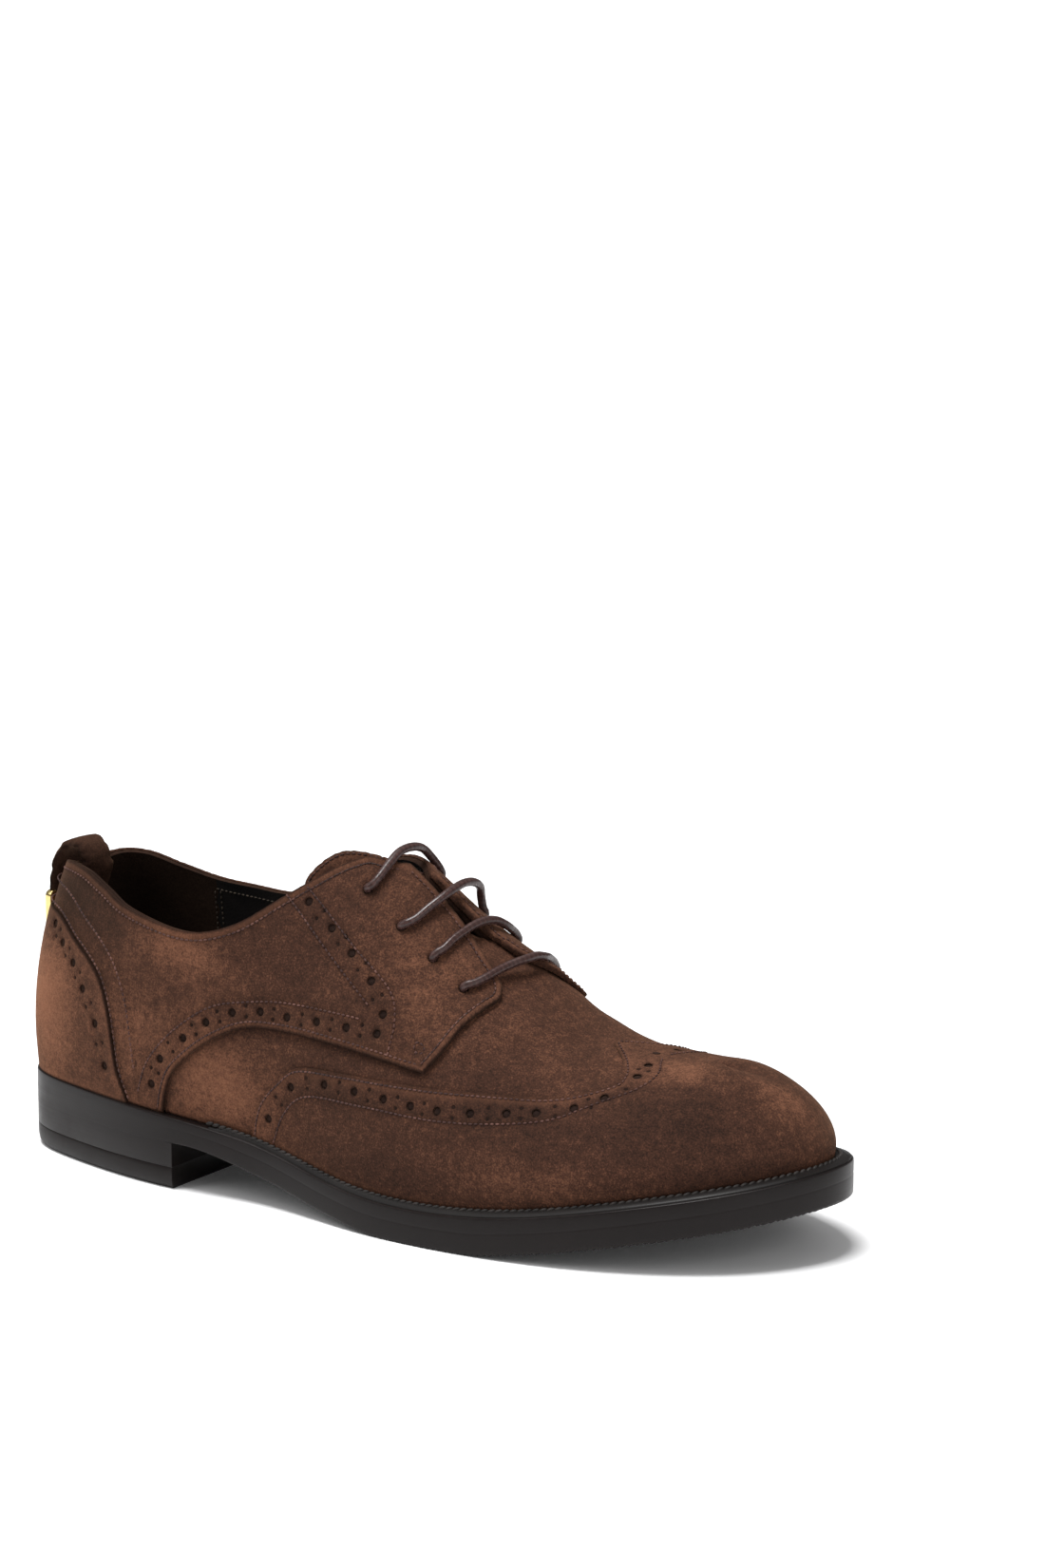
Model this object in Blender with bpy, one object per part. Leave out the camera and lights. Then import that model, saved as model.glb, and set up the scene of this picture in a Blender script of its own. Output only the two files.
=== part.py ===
"""Right suede wing-tip derby shoe, as an assembly of separate closed solids.

The tables and sizes below are in millimetres in the last's own frame: x runs from the back of the heel
to the toe, y from the lateral (-) to the medial (+) side, z up from the floor. Meshes are in metres.

A place on the upper is named by a station, 0 at the back of the heel to 100 at the tip of the toe along
the feather line where upper and sole meet, and by a climb, 0 at the feather line to 100 at the spine,
the line over the top of the foot.
"""

import math
from collections import namedtuple

import bmesh
import bpy
import numpy as np

MM = 0.001

# Driving dimensions
HEEL_BREAST = 80.0
HEEL_SEAT = 15.5
TOP_LIFT = 7.3
GAP = 0.3
UPPER_WALL = 1.8
OVERLAY_GAP = 0.4
OVERLAY_WALL = 1.2
SPINE_Y = -2.5
LACE_DIAMETER = 2.8
WELT_HEIGHT = 2.0
HEEL_BEVEL = 0.2
LIFT_BEVEL = 0.8
INSOLE_WALL = 2.5
TONGUE_WALL = 1.6
TONGUE_HALF_WIDTH = 21.0
WELD_REACH = 0.01
SHARP_ANGLE = 40.0

# Feather line: half widths to the lateral and medial side, and the sole's ledge outside it
FeatherRow = namedtuple("FeatherRow", "x lateral medial ledge")
FEATHER = [
    FeatherRow(8, 11.5, 22.5, 2.8),
    FeatherRow(28, 23.5, 29.0, 2.8),
    FeatherRow(75, 36.0, 26.0, 3.0),
    FeatherRow(115, 37.8, 23.4, 3.2),
    FeatherRow(155, 45.4, 33.4, 4.2),
    FeatherRow(195, 48.5, 44.0, 5.5),
    FeatherRow(232, 44.5, 45.5, 6.5),
    FeatherRow(262, 34.0, 38.0, 7.0),
    FeatherRow(284, 17.0, 24.5, 7.0),
]
EndPoint = namedtuple("EndPoint", "x y ledge")
HEEL_BACK = EndPoint(2.8, 6.5, 2.8)
TOE_TIP = EndPoint(293.5, 7.5, 7.0)

# Heights of the sole's two faces; the bottom lies on the floor under the ball
SoleRow = namedtuple("SoleRow", "x top")
SOLE_TOP = [
    SoleRow(0, 26.0),
    SoleRow(40, 25.5),
    SoleRow(75, 24.2),
    SoleRow(115, 19.5),
    SoleRow(150, 13.0),
    SoleRow(185, 11.5),
    SoleRow(215, 14.0),
    SoleRow(250, 20.0),
    SoleRow(280, 25.5),
    SoleRow(302, 29.5),
]
TreadRow = namedtuple("TreadRow", "x bottom")
SOLE_BOTTOM = [
    TreadRow(0, HEEL_SEAT),
    TreadRow(82, HEEL_SEAT),
    TreadRow(115, 9.5),
    TreadRow(145, 3.2),
    TreadRow(168, 0.0),
    TreadRow(198, 0.0),
    TreadRow(220, 2.8),
    TreadRow(250, 8.2),
    TreadRow(280, 13.8),
    TreadRow(302, 18.0),
]

# Spine over the foot: height, and fullness of the rib below it (2 is an ellipse, more is squarer)
SpineRow = namedtuple("SpineRow", "x z fullness")
SPINE = [
    SpineRow(46, 128.0, 2.4),
    SpineRow(80, 134.0, 2.3),
    SpineRow(112, 129.0, 2.0),
    SpineRow(146, 112.5, 1.85),
    SpineRow(170, 93.0, 1.9),
    SpineRow(190, 77.5, 2.0),
    SpineRow(208, 66.0, 2.1),
    SpineRow(226, 59.0, 2.2),
    SpineRow(245, 56.5, 2.3),
    SpineRow(262, 55.5, 2.4),
]
SPINE_FAN = 14.0

# How far the wall swells past the feather line, about a third of the way up
SwellRow = namedtuple("SwellRow", "station swell")
SWELL = [
    SwellRow(0, 1.5),
    SwellRow(8, 1.6),
    SwellRow(30, 1.2),
    SwellRow(50, 1.6),
    SwellRow(75, 3.0),
    SwellRow(90, 2.2),
    SwellRow(100, 0.6),
]
SWELL_HEIGHT = 0.3
SWELL_SHARPNESS = 1.5

# Soft fullness over the instep and the toe, and the lean of the heel: place, reach and height
FullRow = namedtuple("FullRow", "station turn ahead up height")
FULL = [
    FullRow(0.0, -48.0, 20.0, 30.0, -4.3),
    FullRow(0.0, 48.0, 20.0, 30.0, -4.3),
    FullRow(64.0, 14.0, 24.0, 16.0, 3.2),
    FullRow(91.0, -16.0, 24.0, 24.0, 1.6),
    FullRow(91.0, 16.0, 24.0, 24.0, 1.6),
]
FULL_SCALE = (3.4, 0.95)

# Edges of the panels
EdgeRow = namedtuple("EdgeRow", "station climb")
TOP_LINE = [
    EdgeRow(0, 50.5),
    EdgeRow(6, 50.8),
    EdgeRow(12.5, 47.6),
    EdgeRow(17.3, 42.0),
    EdgeRow(21, 37.2),
    EdgeRow(27.5, 33.8),
    EdgeRow(31, 35.0),
    EdgeRow(35, 40.7),
    EdgeRow(39.6, 53.0),
    EdgeRow(41, 61.5),
    EdgeRow(43, 71.4),
    EdgeRow(46.7, 83.0),
    EdgeRow(48, 88.0),
    EdgeRow(49, 96.5),
    EdgeRow(53, 93.0),
    EdgeRow(57, 91.5),
    EdgeRow(61.8, 89.0),
]
MEDIAL_TOP_LINE = [
    EdgeRow(0, 50.5),
    EdgeRow(5, 50.1),
    EdgeRow(10, 46.7),
    EdgeRow(14.8, 41.5),
    EdgeRow(20.3, 37.0),
    EdgeRow(25.8, 35.6),
    EdgeRow(29, 36.0),
    EdgeRow(33, 38.8),
    EdgeRow(36, 43.2),
    EdgeRow(40.2, 53.0),
    EdgeRow(42.6, 61.5),
    EdgeRow(46, 72.0),
    EdgeRow(49, 83.0),
    EdgeRow(50.2, 90.0),
    EdgeRow(51, 96.5),
    EdgeRow(53, 96.2),
    EdgeRow(57, 95.0),
    EdgeRow(61, 93.5),
    EdgeRow(64, 89.0),
    EdgeRow(66.2, 82.0),
]
THROAT_END = [EdgeRow(55.5, 92.0), EdgeRow(57.2, 94.5), EdgeRow(58.4, 100.0)]
QUARTER_EDGE = [
    EdgeRow(27.1, 0.0),
    EdgeRow(27.6, 3.0),
    EdgeRow(28.4, 6.0),
    EdgeRow(30.9, 11.0),
    EdgeRow(34, 16.5),
    EdgeRow(37, 21.0),
    EdgeRow(41.2, 25.0),
    EdgeRow(48.8, 30.8),
    EdgeRow(58.4, 37.7),
    EdgeRow(59.6, 45.7),
    EdgeRow(60.9, 59.0),
    EdgeRow(61.8, 80.0),
]
COUNTER_EDGE = [
    EdgeRow(0, 38.0),
    EdgeRow(4, 37.4),
    EdgeRow(9.9, 34.2),
    EdgeRow(13.8, 28.3),
    EdgeRow(17, 23.3),
    EdgeRow(18.6, 19.8),
    EdgeRow(19.9, 14.5),
    EdgeRow(20.7, 8.5),
    EdgeRow(21.2, 4.0),
    EdgeRow(22.5, 0.0),
]
WING_EDGE = [
    EdgeRow(37.8, 0.0),
    EdgeRow(38.1, 4.0),
    EdgeRow(38.8, 8.3),
    EdgeRow(41.1, 15.0),
    EdgeRow(43.1, 19.5),
    EdgeRow(49.2, 25.3),
    EdgeRow(54.8, 30.3),
    EdgeRow(60.6, 36.2),
    EdgeRow(66.6, 44.5),
    EdgeRow(71.3, 51.6),
    EdgeRow(74.1, 58.5),
    EdgeRow(76.5, 66.9),
    EdgeRow(76.7, 73.4),
    EdgeRow(75.2, 87.3),
    EdgeRow(73.2, 100.0),
]
TAB_START, TAB_POINT, TAB_TOP = 49, 37.7, 80
TAB_REACH = {-1: 0.0, 1: 4.4}

# Eyelets by station and climb on the lateral side, then on the medial side
Eyelet = namedtuple("Eyelet", "lateral climb medial medial_climb")
EYELETS = [
    Eyelet(47.9, 70.4, 50.2, 75.5),
    Eyelet(52.1, 69.4, 55.0, 75.5),
    Eyelet(55.8, 69.8, 58.5, 75.0),
    Eyelet(59.4, 69.8, 62.4, 74.0),
]
LACE_ARCH = [2.0, 4.0, 3.0, 2.0]

# Sole edge from top to bottom: share of the depth, and how far it stands out
RimRow = namedtuple("RimRow", "depth out")
SOLE_RIM = [
    RimRow(0.00, -0.7),
    RimRow(0.05, 0.0),
    RimRow(0.40, 0.0),
    RimRow(0.43, -0.5),
    RimRow(0.48, -0.5),
    RimRow(0.51, 0.0),
    RimRow(0.92, -0.1),
    RimRow(1.00, -0.9),
]

# Pull loop: distance behind the top of the back seam and height above it
LoopRow = namedtuple("LoopRow", "out up")
LOOP_PATH = [
    LoopRow(-0.7, -12.0),
    LoopRow(-3.2, -6.0),
    LoopRow(-5.2, -1.5),
    LoopRow(-4.8, 3.0),
    LoopRow(-0.8, 5.8),
    LoopRow(5.2, 5.4),
    LoopRow(10.2, 0.9),
    LoopRow(12.6, -5.5),
    LoopRow(12.9, -13.0),
]
LOOP_WIDTH = 13.0
LOOP_WALL = 1.8
LOOP_STEPS = 18
BAR_WIDTH = 15.0
BAR_HEIGHT = 10.0
BAR_WALL = 1.8

# Finishes: base colour, roughness, metallic
Finish = namedtuple("Finish", "color roughness metallic")
SUEDE = Finish((0.105, 0.052, 0.030), 0.95, 0.0)
SUEDE_DARK = Finish((0.060, 0.030, 0.019), 0.95, 0.0)
RUBBER = Finish((0.018, 0.014, 0.014), 0.38, 0.0)
LINING = Finish((0.028, 0.016, 0.012), 0.80, 0.0)
CORD = Finish((0.045, 0.026, 0.021), 0.55, 0.0)
GOLD = Finish((0.830, 0.640, 0.270), 0.22, 1.0)


def column(rows, name):
    """One named column of a table."""
    return [getattr(row, name) for row in rows]


def smooth_curve(knots, values):
    """Cubic curve through the knots with no curvature at its ends."""
    xs = np.asarray(knots, float)
    ys = np.asarray(values, float)
    count = len(xs)
    step = np.diff(xs)
    matrix = np.zeros((count, count))
    rhs = np.zeros(ys.shape)
    matrix[0, 0] = 1.0
    matrix[-1, -1] = 1.0
    for i in range(1, count - 1):
        matrix[i, i - 1:i + 2] = step[i - 1], 2 * (step[i - 1] + step[i]), step[i]
        rhs[i] = 6 * ((ys[i + 1] - ys[i]) / step[i] - (ys[i] - ys[i - 1]) / step[i - 1])
    bend = np.linalg.solve(matrix, rhs)

    def curve(x):
        x = np.asarray(x, float)
        i = np.clip(np.searchsorted(xs, x) - 1, 0, count - 2)
        before, after, width = x - xs[i], xs[i + 1] - x, step[i]
        if ys.ndim > 1:
            before, after, width = before[..., None], after[..., None], width[..., None]
        arch = (bend[i] * after ** 3 + bend[i + 1] * before ** 3) / (6 * width)
        left = (ys[i] / width - bend[i] * width / 6) * after
        right = (ys[i + 1] / width - bend[i + 1] * width / 6) * before
        return arch + left + right

    return curve


def steady_curve(knots, values):
    """Cubic curve through the knots that never overshoots them."""
    xs = np.asarray(knots, float)
    ys = np.asarray(values, float)
    step = np.diff(xs)
    rise = np.diff(ys) / step
    slope = np.zeros_like(ys)
    slope[0], slope[-1] = rise[0], rise[-1]
    for i in range(1, len(xs) - 1):
        if rise[i - 1] * rise[i] > 0:
            near, far = 2 * step[i] + step[i - 1], step[i] + 2 * step[i - 1]
            slope[i] = (near + far) / (near / rise[i - 1] + far / rise[i])

    def curve(x):
        x = np.clip(np.asarray(x, float), xs[0], xs[-1])
        i = np.clip(np.searchsorted(xs, x) - 1, 0, len(xs) - 2)
        t = (x - xs[i]) / step[i]
        start = (2 * t ** 3 - 3 * t ** 2 + 1) * ys[i] + (t ** 3 - 2 * t ** 2 + t) * step[i] * slope[i]
        end = (3 * t ** 2 - 2 * t ** 3) * ys[i + 1] + (t ** 3 - t ** 2) * step[i] * slope[i + 1]
        return start + end

    return curve


sole_top = smooth_curve(column(SOLE_TOP, "x"), column(SOLE_TOP, "top"))
sole_bottom = steady_curve(column(SOLE_BOTTOM, "x"), column(SOLE_BOTTOM, "bottom"))
spine_height = smooth_curve(column(SPINE, "x"), column(SPINE, "z"))
spine_fullness = smooth_curve(column(SPINE, "x"), column(SPINE, "fullness"))
swell_at = steady_curve(column(SWELL, "station"), column(SWELL, "swell"))
top_line = {
    -1: steady_curve(column(TOP_LINE, "station"), column(TOP_LINE, "climb")),
    1: steady_curve(column(MEDIAL_TOP_LINE, "station"), column(MEDIAL_TOP_LINE, "climb")),
}
throat_end = steady_curve(column(THROAT_END, "station"), column(THROAT_END, "climb"))
quarter_edge = steady_curve(column(QUARTER_EDGE, "station"), column(QUARTER_EDGE, "climb"))
counter_climb = steady_curve(column(COUNTER_EDGE, "station"), column(COUNTER_EDGE, "climb"))
counter_station = steady_curve(column(COUNTER_EDGE, "climb")[::-1], column(COUNTER_EDGE, "station")[::-1])
wing_station = steady_curve(column(WING_EDGE, "climb"), column(WING_EDGE, "station"))


def feather_loop():
    """The closed feather line as one smooth curve, halved into two runs from heel to toe."""
    lateral = [HEEL_BACK] + [EndPoint(r.x, -r.lateral, r.ledge) for r in FEATHER] + [TOE_TIP]
    medial = [HEEL_BACK] + [EndPoint(r.x, r.medial, r.ledge) for r in FEATHER] + [TOE_TIP]
    loop = np.array(lateral + medial[-2::-1], float)
    reach = np.sqrt(np.linalg.norm(np.diff(loop[:, :2], axis=0), axis=1))
    at = np.concatenate([[0.0], np.cumsum(reach)])
    wrap = 4
    knots = np.concatenate([at[-1 - wrap:-1] - at[-1], at, at[1:1 + wrap] + at[-1]])
    curve = smooth_curve(knots, np.concatenate([loop[-1 - wrap:-1], loop, loop[1:1 + wrap]]))
    toe = at[len(lateral) - 1]
    samples = 600
    return {-1: curve(np.linspace(0.0, toe, samples)), 1: curve(np.linspace(at[-1], toe, samples))}


FEATHER_RUN = feather_loop()
FEATHER_AT = {}
for run_side, run in FEATHER_RUN.items():
    length = np.concatenate([[0.0], np.cumsum(np.linalg.norm(np.diff(run[:, :2], axis=0), axis=1))])
    FEATHER_AT[run_side] = 100.0 * length / length[-1]


def feather(side, station, out=0.0, share=0.0):
    """Plan points on the feather line, moved outwards by a distance and by a share of the ledge."""
    station = np.asarray(station, float)
    run, at = FEATHER_RUN[side], FEATHER_AT[side]

    def plan(where, axes):
        return np.stack([np.interp(where, at, run[:, k]) for k in axes], -1)

    nudge = 0.1
    along = plan(np.clip(station + nudge, 0, 100), (0, 1)) - plan(np.clip(station - nudge, 0, 100), (0, 1))
    along /= np.linalg.norm(along, axis=-1, keepdims=True)
    outward = -side * np.stack([along[..., 1], -along[..., 0]], -1)
    point = plan(station, (0, 1, 2))
    return point[..., :2] + outward * (np.asarray(out)[..., None] + share * point[..., 2:3])


def spine_table():
    """Where each station's rib meets the spine: straight across, fanned together at heel and toe."""
    station = np.linspace(0.0, 100.0, 401)
    middle = (feather(-1, station)[:, 0] + feather(1, station)[:, 0]) / 2
    first, last = SPINE[0].x, SPINE[-1].x
    held = last - SPINE_FAN * np.log1p(np.exp((last - middle) / SPINE_FAN))
    held = first + SPINE_FAN * np.log1p(np.exp((held - first) / SPINE_FAN))
    return station, first + (last - first) * (held - held[0]) / (held[-1] - held[0])


SPINE_STATION, SPINE_X = spine_table()


def spine_slope(x):
    """Rise of the spine for each millimetre forward."""
    half_step = 0.5
    return spine_height(x + half_step) - spine_height(x - half_step)


def fullness_over(station, turn):
    """How far the soft fullness and the heel's lean push the upper out or in."""
    total = np.zeros(np.shape(station))
    for row in FULL:
        ahead = (station - row.station) * FULL_SCALE[0] / row.ahead
        above = (turn - row.turn) * FULL_SCALE[1] / row.up
        total = total + row.height * np.exp(-ahead ** 2 - above ** 2)
    return total


def upper_face(station, turn):
    """Points on the upper's outer face. Turn is -100 lateral feather, 0 spine, 100 medial feather."""
    station, turn = np.broadcast_arrays(np.asarray(station, float), np.asarray(turn, float))
    plan = np.where((turn < 0)[..., None], feather(-1, station), feather(1, station))
    foot = sole_top(plan[..., 0])
    spine_x = np.interp(station, SPINE_STATION, SPINE_X)
    axis = np.stack([spine_x, np.full_like(spine_x, SPINE_Y)], -1)
    power = 2.0 / spine_fullness(spine_x)
    angle = (1 - np.abs(turn) / 100) * math.pi / 2
    reach = np.clip(np.cos(angle), 0, 1) ** power
    rise = np.sin(angle) ** power
    span = np.linalg.norm(plan - axis, axis=-1)
    height = rise / SWELL_HEIGHT
    swell = swell_at(station) * (height * np.exp(1 - height)) ** SWELL_SHARPNESS
    out = span * reach + swell * (reach > 1e-6)
    place = axis + (plan - axis) * (out / span)[..., None]
    roof = spine_height(spine_x) + spine_slope(spine_x) * (place[..., 0] - spine_x)
    points = np.concatenate([place, (foot + (roof - foot) * rise)[..., None]], -1)
    lean = np.concatenate([(plan - axis) * (reach / span)[..., None], rise[..., None]], -1)
    lean /= np.linalg.norm(lean, axis=-1, keepdims=True)
    return points + lean * fullness_over(station, turn)[..., None]


def upper_point(station, climb, side):
    """One point on the upper's outer face by climb and side."""
    return upper_face(station, side * (100.0 - np.asarray(climb, float)))


def foot_climb(station, side, height):
    """The climb at which the wall stands a given height above the sole."""
    plan = feather(side, station)
    spine_x = np.interp(station, SPINE_STATION, SPINE_X)
    roof = spine_height(spine_x) + spine_slope(spine_x) * (plan[..., 0] - spine_x)
    rise = height / (roof - sole_top(plan[..., 0]))
    return 100.0 * 2 / math.pi * np.arcsin(rise ** (spine_fullness(spine_x) / 2))


class Solid:
    """A mesh in the making: points in millimetres and faces."""

    def __init__(self):
        self.mesh = bmesh.new()

    def add_grid(self, points, closed=False):
        """Join a grid of points, rows by columns, with four-sided faces."""
        rows, columns = points.shape[:2]
        verts = [[self.mesh.verts.new(p) for p in row] for row in points]
        for i in range(rows - 1):
            for j in range(columns if closed else columns - 1):
                k = (j + 1) % columns
                self.mesh.faces.new((verts[i][j], verts[i][k], verts[i + 1][k], verts[i + 1][j]))
        return verts

    def add_cap(self, loop):
        """Close a loop of vertices with one face."""
        self.mesh.faces.new(loop)

    def weld(self):
        """Merge the points that neighbouring patches share."""
        bmesh.ops.remove_doubles(self.mesh, verts=self.mesh.verts, dist=WELD_REACH)
        bmesh.ops.dissolve_degenerate(self.mesh, dist=WELD_REACH / 2, edges=self.mesh.edges)

    def thicken(self, inner, outer):
        """Turn an open sheet into a closed wall between two distances outside the sheet."""
        self.weld()
        mesh = self.mesh
        bmesh.ops.recalc_face_normals(mesh, faces=mesh.faces)
        mesh.normal_update()
        middle = np.mean([v.co for v in mesh.verts], axis=0)
        lean = sum((v.co.x - middle[0]) * v.normal.x + (v.co.y - SPINE_Y) * v.normal.y for v in mesh.verts)
        sign = 1.0 if lean > 0 else -1.0
        rim = [e for e in mesh.edges if e.is_boundary]
        pushed = {v: v.co + v.normal * (sign * inner) for v in mesh.verts}
        sheet = list(mesh.faces)
        under = {v: mesh.verts.new(p) for v, p in pushed.items()}
        for v in under:
            v.co = v.co + v.normal * (sign * outer)
        for face in sheet:
            mesh.faces.new([under[v] for v in reversed(face.verts)])
        for edge in rim:
            a, b = edge.verts
            mesh.faces.new((a, b, under[b], under[a]))

    def finish(self, name, finish, smooth=True):
        """Make the object, in metres, with its faces out and its own material."""
        self.weld()
        mesh = self.mesh
        bmesh.ops.triangulate(mesh, faces=[f for f in mesh.faces if len(f.verts) > 3])
        bmesh.ops.recalc_face_normals(mesh, faces=mesh.faces)
        bmesh.ops.scale(mesh, vec=(MM, MM, MM), verts=mesh.verts)
        data = bpy.data.meshes.new(name)
        mesh.to_mesh(data)
        mesh.free()
        if smooth:
            data.shade_smooth()
            data.set_sharp_from_angle(angle=math.radians(SHARP_ANGLE))
        data.materials.append(material(name, finish))
        item = bpy.data.objects.new(name, data)
        bpy.context.scene.collection.objects.link(item)
        return item


def material(name, finish):
    """A Principled material of the given colour, roughness and metallic value."""
    made = bpy.data.materials.new(name)
    made.use_nodes = True
    shader = made.node_tree.nodes["Principled BSDF"]
    shader.inputs["Base Color"].default_value = (*finish.color, 1.0)
    shader.inputs["Roughness"].default_value = finish.roughness
    shader.inputs["Metallic"].default_value = finish.metallic
    made.diffuse_color = (*finish.color, 1.0)
    return made


def outline(stations, out=0.0, share=0.0):
    """A closed plan outline: lateral heel to toe, then medial toe to heel."""
    lateral = feather(-1, stations, out, share)
    medial = feather(1, stations[1:-1], out, share)
    return np.concatenate([lateral, medial[::-1]])


def add_plate(solid, plan_rings, heights):
    """A plate from rings of equal count: the rims between them and strip faces over both ends."""
    rings = []
    for plan, z in zip(plan_rings, heights):
        rings.append(np.concatenate([plan, np.asarray(z, float)[:, None]], 1))
    verts = solid.add_grid(np.array(rings), closed=True)
    count = len(verts[0])
    half = count // 2
    for ring in (verts[0], verts[-1]):
        for i in range(half):
            corners = [ring[i], ring[i + 1], ring[(count - 1 - i) % count], ring[(count - i) % count]]
            unique = list(dict.fromkeys(corners))
            solid.mesh.faces.new(unique)


SOLE_STATIONS = np.concatenate([np.linspace(0, 8, 5), np.linspace(11, 89, 27), np.linspace(92, 100, 5)])


def build_outsole():
    """The moulded sole: rim with a groove, arch, toe spring and a flat tread under the ball."""
    solid = Solid()
    rings, heights = [], []
    for row in SOLE_RIM:
        plan = outline(SOLE_STATIONS, row.out, 1.0)
        top, bottom = sole_top(plan[:, 0]), sole_bottom(plan[:, 0])
        rings.append(plan)
        heights.append(top + (bottom - top) * row.depth)
    add_plate(solid, rings, heights)
    return solid.finish("outsole", RUBBER)


def heel_outline(inset):
    """The sole's outline behind the heel breast, with square corners at the breast."""
    stations = np.concatenate([np.linspace(0, 8, 6), np.linspace(11, 30, 8)])
    corner_room = 3.0
    halves = []
    for side in (-1, 1):
        plan = feather(side, stations, -inset, 1.0)
        halves.append(plan[plan[:, 0] < HEEL_BREAST - corner_room])
    fewer = min(len(halves[0]), len(halves[1]))
    points = []
    for half in halves:
        half = half[:fewer]
        ahead = half[-1] + (half[-1] - half[-2]) * (HEEL_BREAST - half[-1, 0]) / (half[-1, 0] - half[-2, 0])
        points.append(np.concatenate([half, [ahead]]))
    return np.concatenate([points[0], points[1][:0:-1]])


def build_heel_slab(name, bottom, top, foot_inset, finish):
    """One layer of the heel with a small bevel round its foot."""
    solid = Solid()
    plan, foot = heel_outline(0.0), heel_outline(foot_inset)
    plan[:, 0] = np.minimum(plan[:, 0], HEEL_BREAST)
    foot[:, 0] = np.minimum(foot[:, 0], HEEL_BREAST)
    level = np.ones(len(plan))
    add_plate(solid, [plan, plan, foot], [top * level, (bottom + foot_inset) * level, bottom * level])
    return solid.finish(name, finish)


def build_insole():
    """The footbed, clear of the wall all round."""
    solid = Solid()
    clearance = 1.2
    plan = outline(SOLE_STATIONS, -UPPER_WALL - clearance)
    under = sole_top(plan[:, 0]) + GAP
    add_plate(solid, [plan, plan], [under + INSOLE_WALL, under])
    return solid.finish("insole", LINING)


def build_welt():
    """The stitched ridge on the sole's ledge, round the forefoot from waist to waist."""
    solid = Solid()
    reach = np.linspace(33, 100, 28)
    inner, edge = 1.3, 1.0
    run = []
    for side, order in ((-1, 1), (1, -1)):
        near = feather(side, reach, inner)
        far = feather(side, reach, -edge, 1.0)
        pairs = np.stack([near, far], 1)[::order]
        run.append(pairs if order > 0 else pairs[1:])
    pairs = np.concatenate(run)
    base = sole_top(pairs[..., 0]) + GAP
    low = np.concatenate([pairs, base[..., None]], -1)
    high = np.concatenate([pairs, base[..., None] + WELT_HEIGHT], -1)
    taper = 0.25
    middle = pairs.mean(axis=1, keepdims=True)
    high[..., :2] += (middle - pairs) * taper
    rows = np.stack([low[:, 0], low[:, 1], high[:, 1], high[:, 0]], 1)
    verts = solid.add_grid(rows, closed=True)
    solid.add_cap(verts[0])
    solid.add_cap(verts[-1])
    return solid.finish("welt", RUBBER)


def build_upper():
    """The hollow wall of vamp and lining, open at collar, throat and underneath."""
    solid = Solid()
    back = np.concatenate([np.arange(0, 22, 2.0), np.arange(22, 37, 3.0)])
    front = [38.5, 40.2, 41.5, 43, 44.8, 46.7, 48, 49, 50.5, 53, 55.5, 57.2, 58.4]
    vamp = np.concatenate([np.linspace(60.5, 85, 11), np.linspace(87.5, 100, 6)])
    stations = np.concatenate([back, front, vamp])
    rows = 9
    share = np.linspace(0, 1, rows)
    for side in (-1, 1):
        top = np.where(stations < THROAT_END[0].station, top_line[side](stations), throat_end(stations))
        foot = foot_climb(stations, side, GAP)
        climb = foot[:, None] + (top - foot)[:, None] * share[None, :]
        solid.add_grid(upper_point(stations[:, None], climb, side))
    solid.thicken(-UPPER_WALL, 0.0)
    return solid.finish("upper", SUEDE)


def build_wing_cap():
    """Toe cap whose upper edge rises to a point on the vamp and whose wings reach the waist."""
    solid = Solid()
    row = np.array([0, 5, 10, 15, 19, 23, 27, 32, 38, 45, 52, 59, 67, 75, 84, 92, 100.0])
    edge = wing_station(row)
    columns, toe_gather = 16, 1.3
    share = 1 - (1 - np.linspace(0, 1, columns)) ** toe_gather
    station = edge[:, None] + (100.0 - edge[:, None]) * share[None, :]
    for side in (-1, 1):
        foot = foot_climb(station, side, WELT_HEIGHT + 5 * GAP)
        solid.add_grid(upper_point(station, foot + (100.0 - foot) * row[:, None] / 100, side))
    solid.thicken(OVERLAY_GAP, OVERLAY_GAP + OVERLAY_WALL)
    return solid.finish("wing_cap", SUEDE)


def build_quarter(name, side):
    """Lacing panel: collar and facing above, vamp edge below, heel counter behind."""
    solid = Solid()
    behind = [0.3, 2, 3.5, 5, 6.5, 8, 9.5, 11, 13, 15, 16.5, 18, 19, 19.8, 20.5, 21.3, 22.6]
    middle = [24, 26, 27.1, 27.6, 28.4, 29.6, 31, 33, 35, 37, 39.6, 41, 42.2, 43.5, 45, 46.7, 48, 49]
    ahead = [51, 53.2, 55.4, 57, 58.4, 59.2, 60, 60.8, 61.4, 61.8]
    station = np.array(behind + middle + ahead)
    seam_shift, seam_rise, waist, rows = 0.25, 0.6, 25, 7
    low = np.where(station < waist, counter_climb(station - seam_shift) + seam_rise, quarter_edge(station))
    low = np.maximum(low, foot_climb(station, side, 2 * GAP))
    reach = np.clip((station - TAB_START) / (station[-1] - TAB_START), 0, 1) * TAB_REACH[side]
    high = top_line[side](station + reach)
    climb = low[:, None] + (high - low)[:, None] * np.linspace(0, 1, rows)[None, :]
    lean = np.clip((climb - TAB_POINT) / (TAB_TOP - TAB_POINT), 0, 1)
    solid.add_grid(upper_point(station[:, None] + reach[:, None] * lean, climb, side))
    solid.thicken(OVERLAY_GAP, OVERLAY_GAP + OVERLAY_WALL)
    return solid.finish(name, SUEDE)


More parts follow.
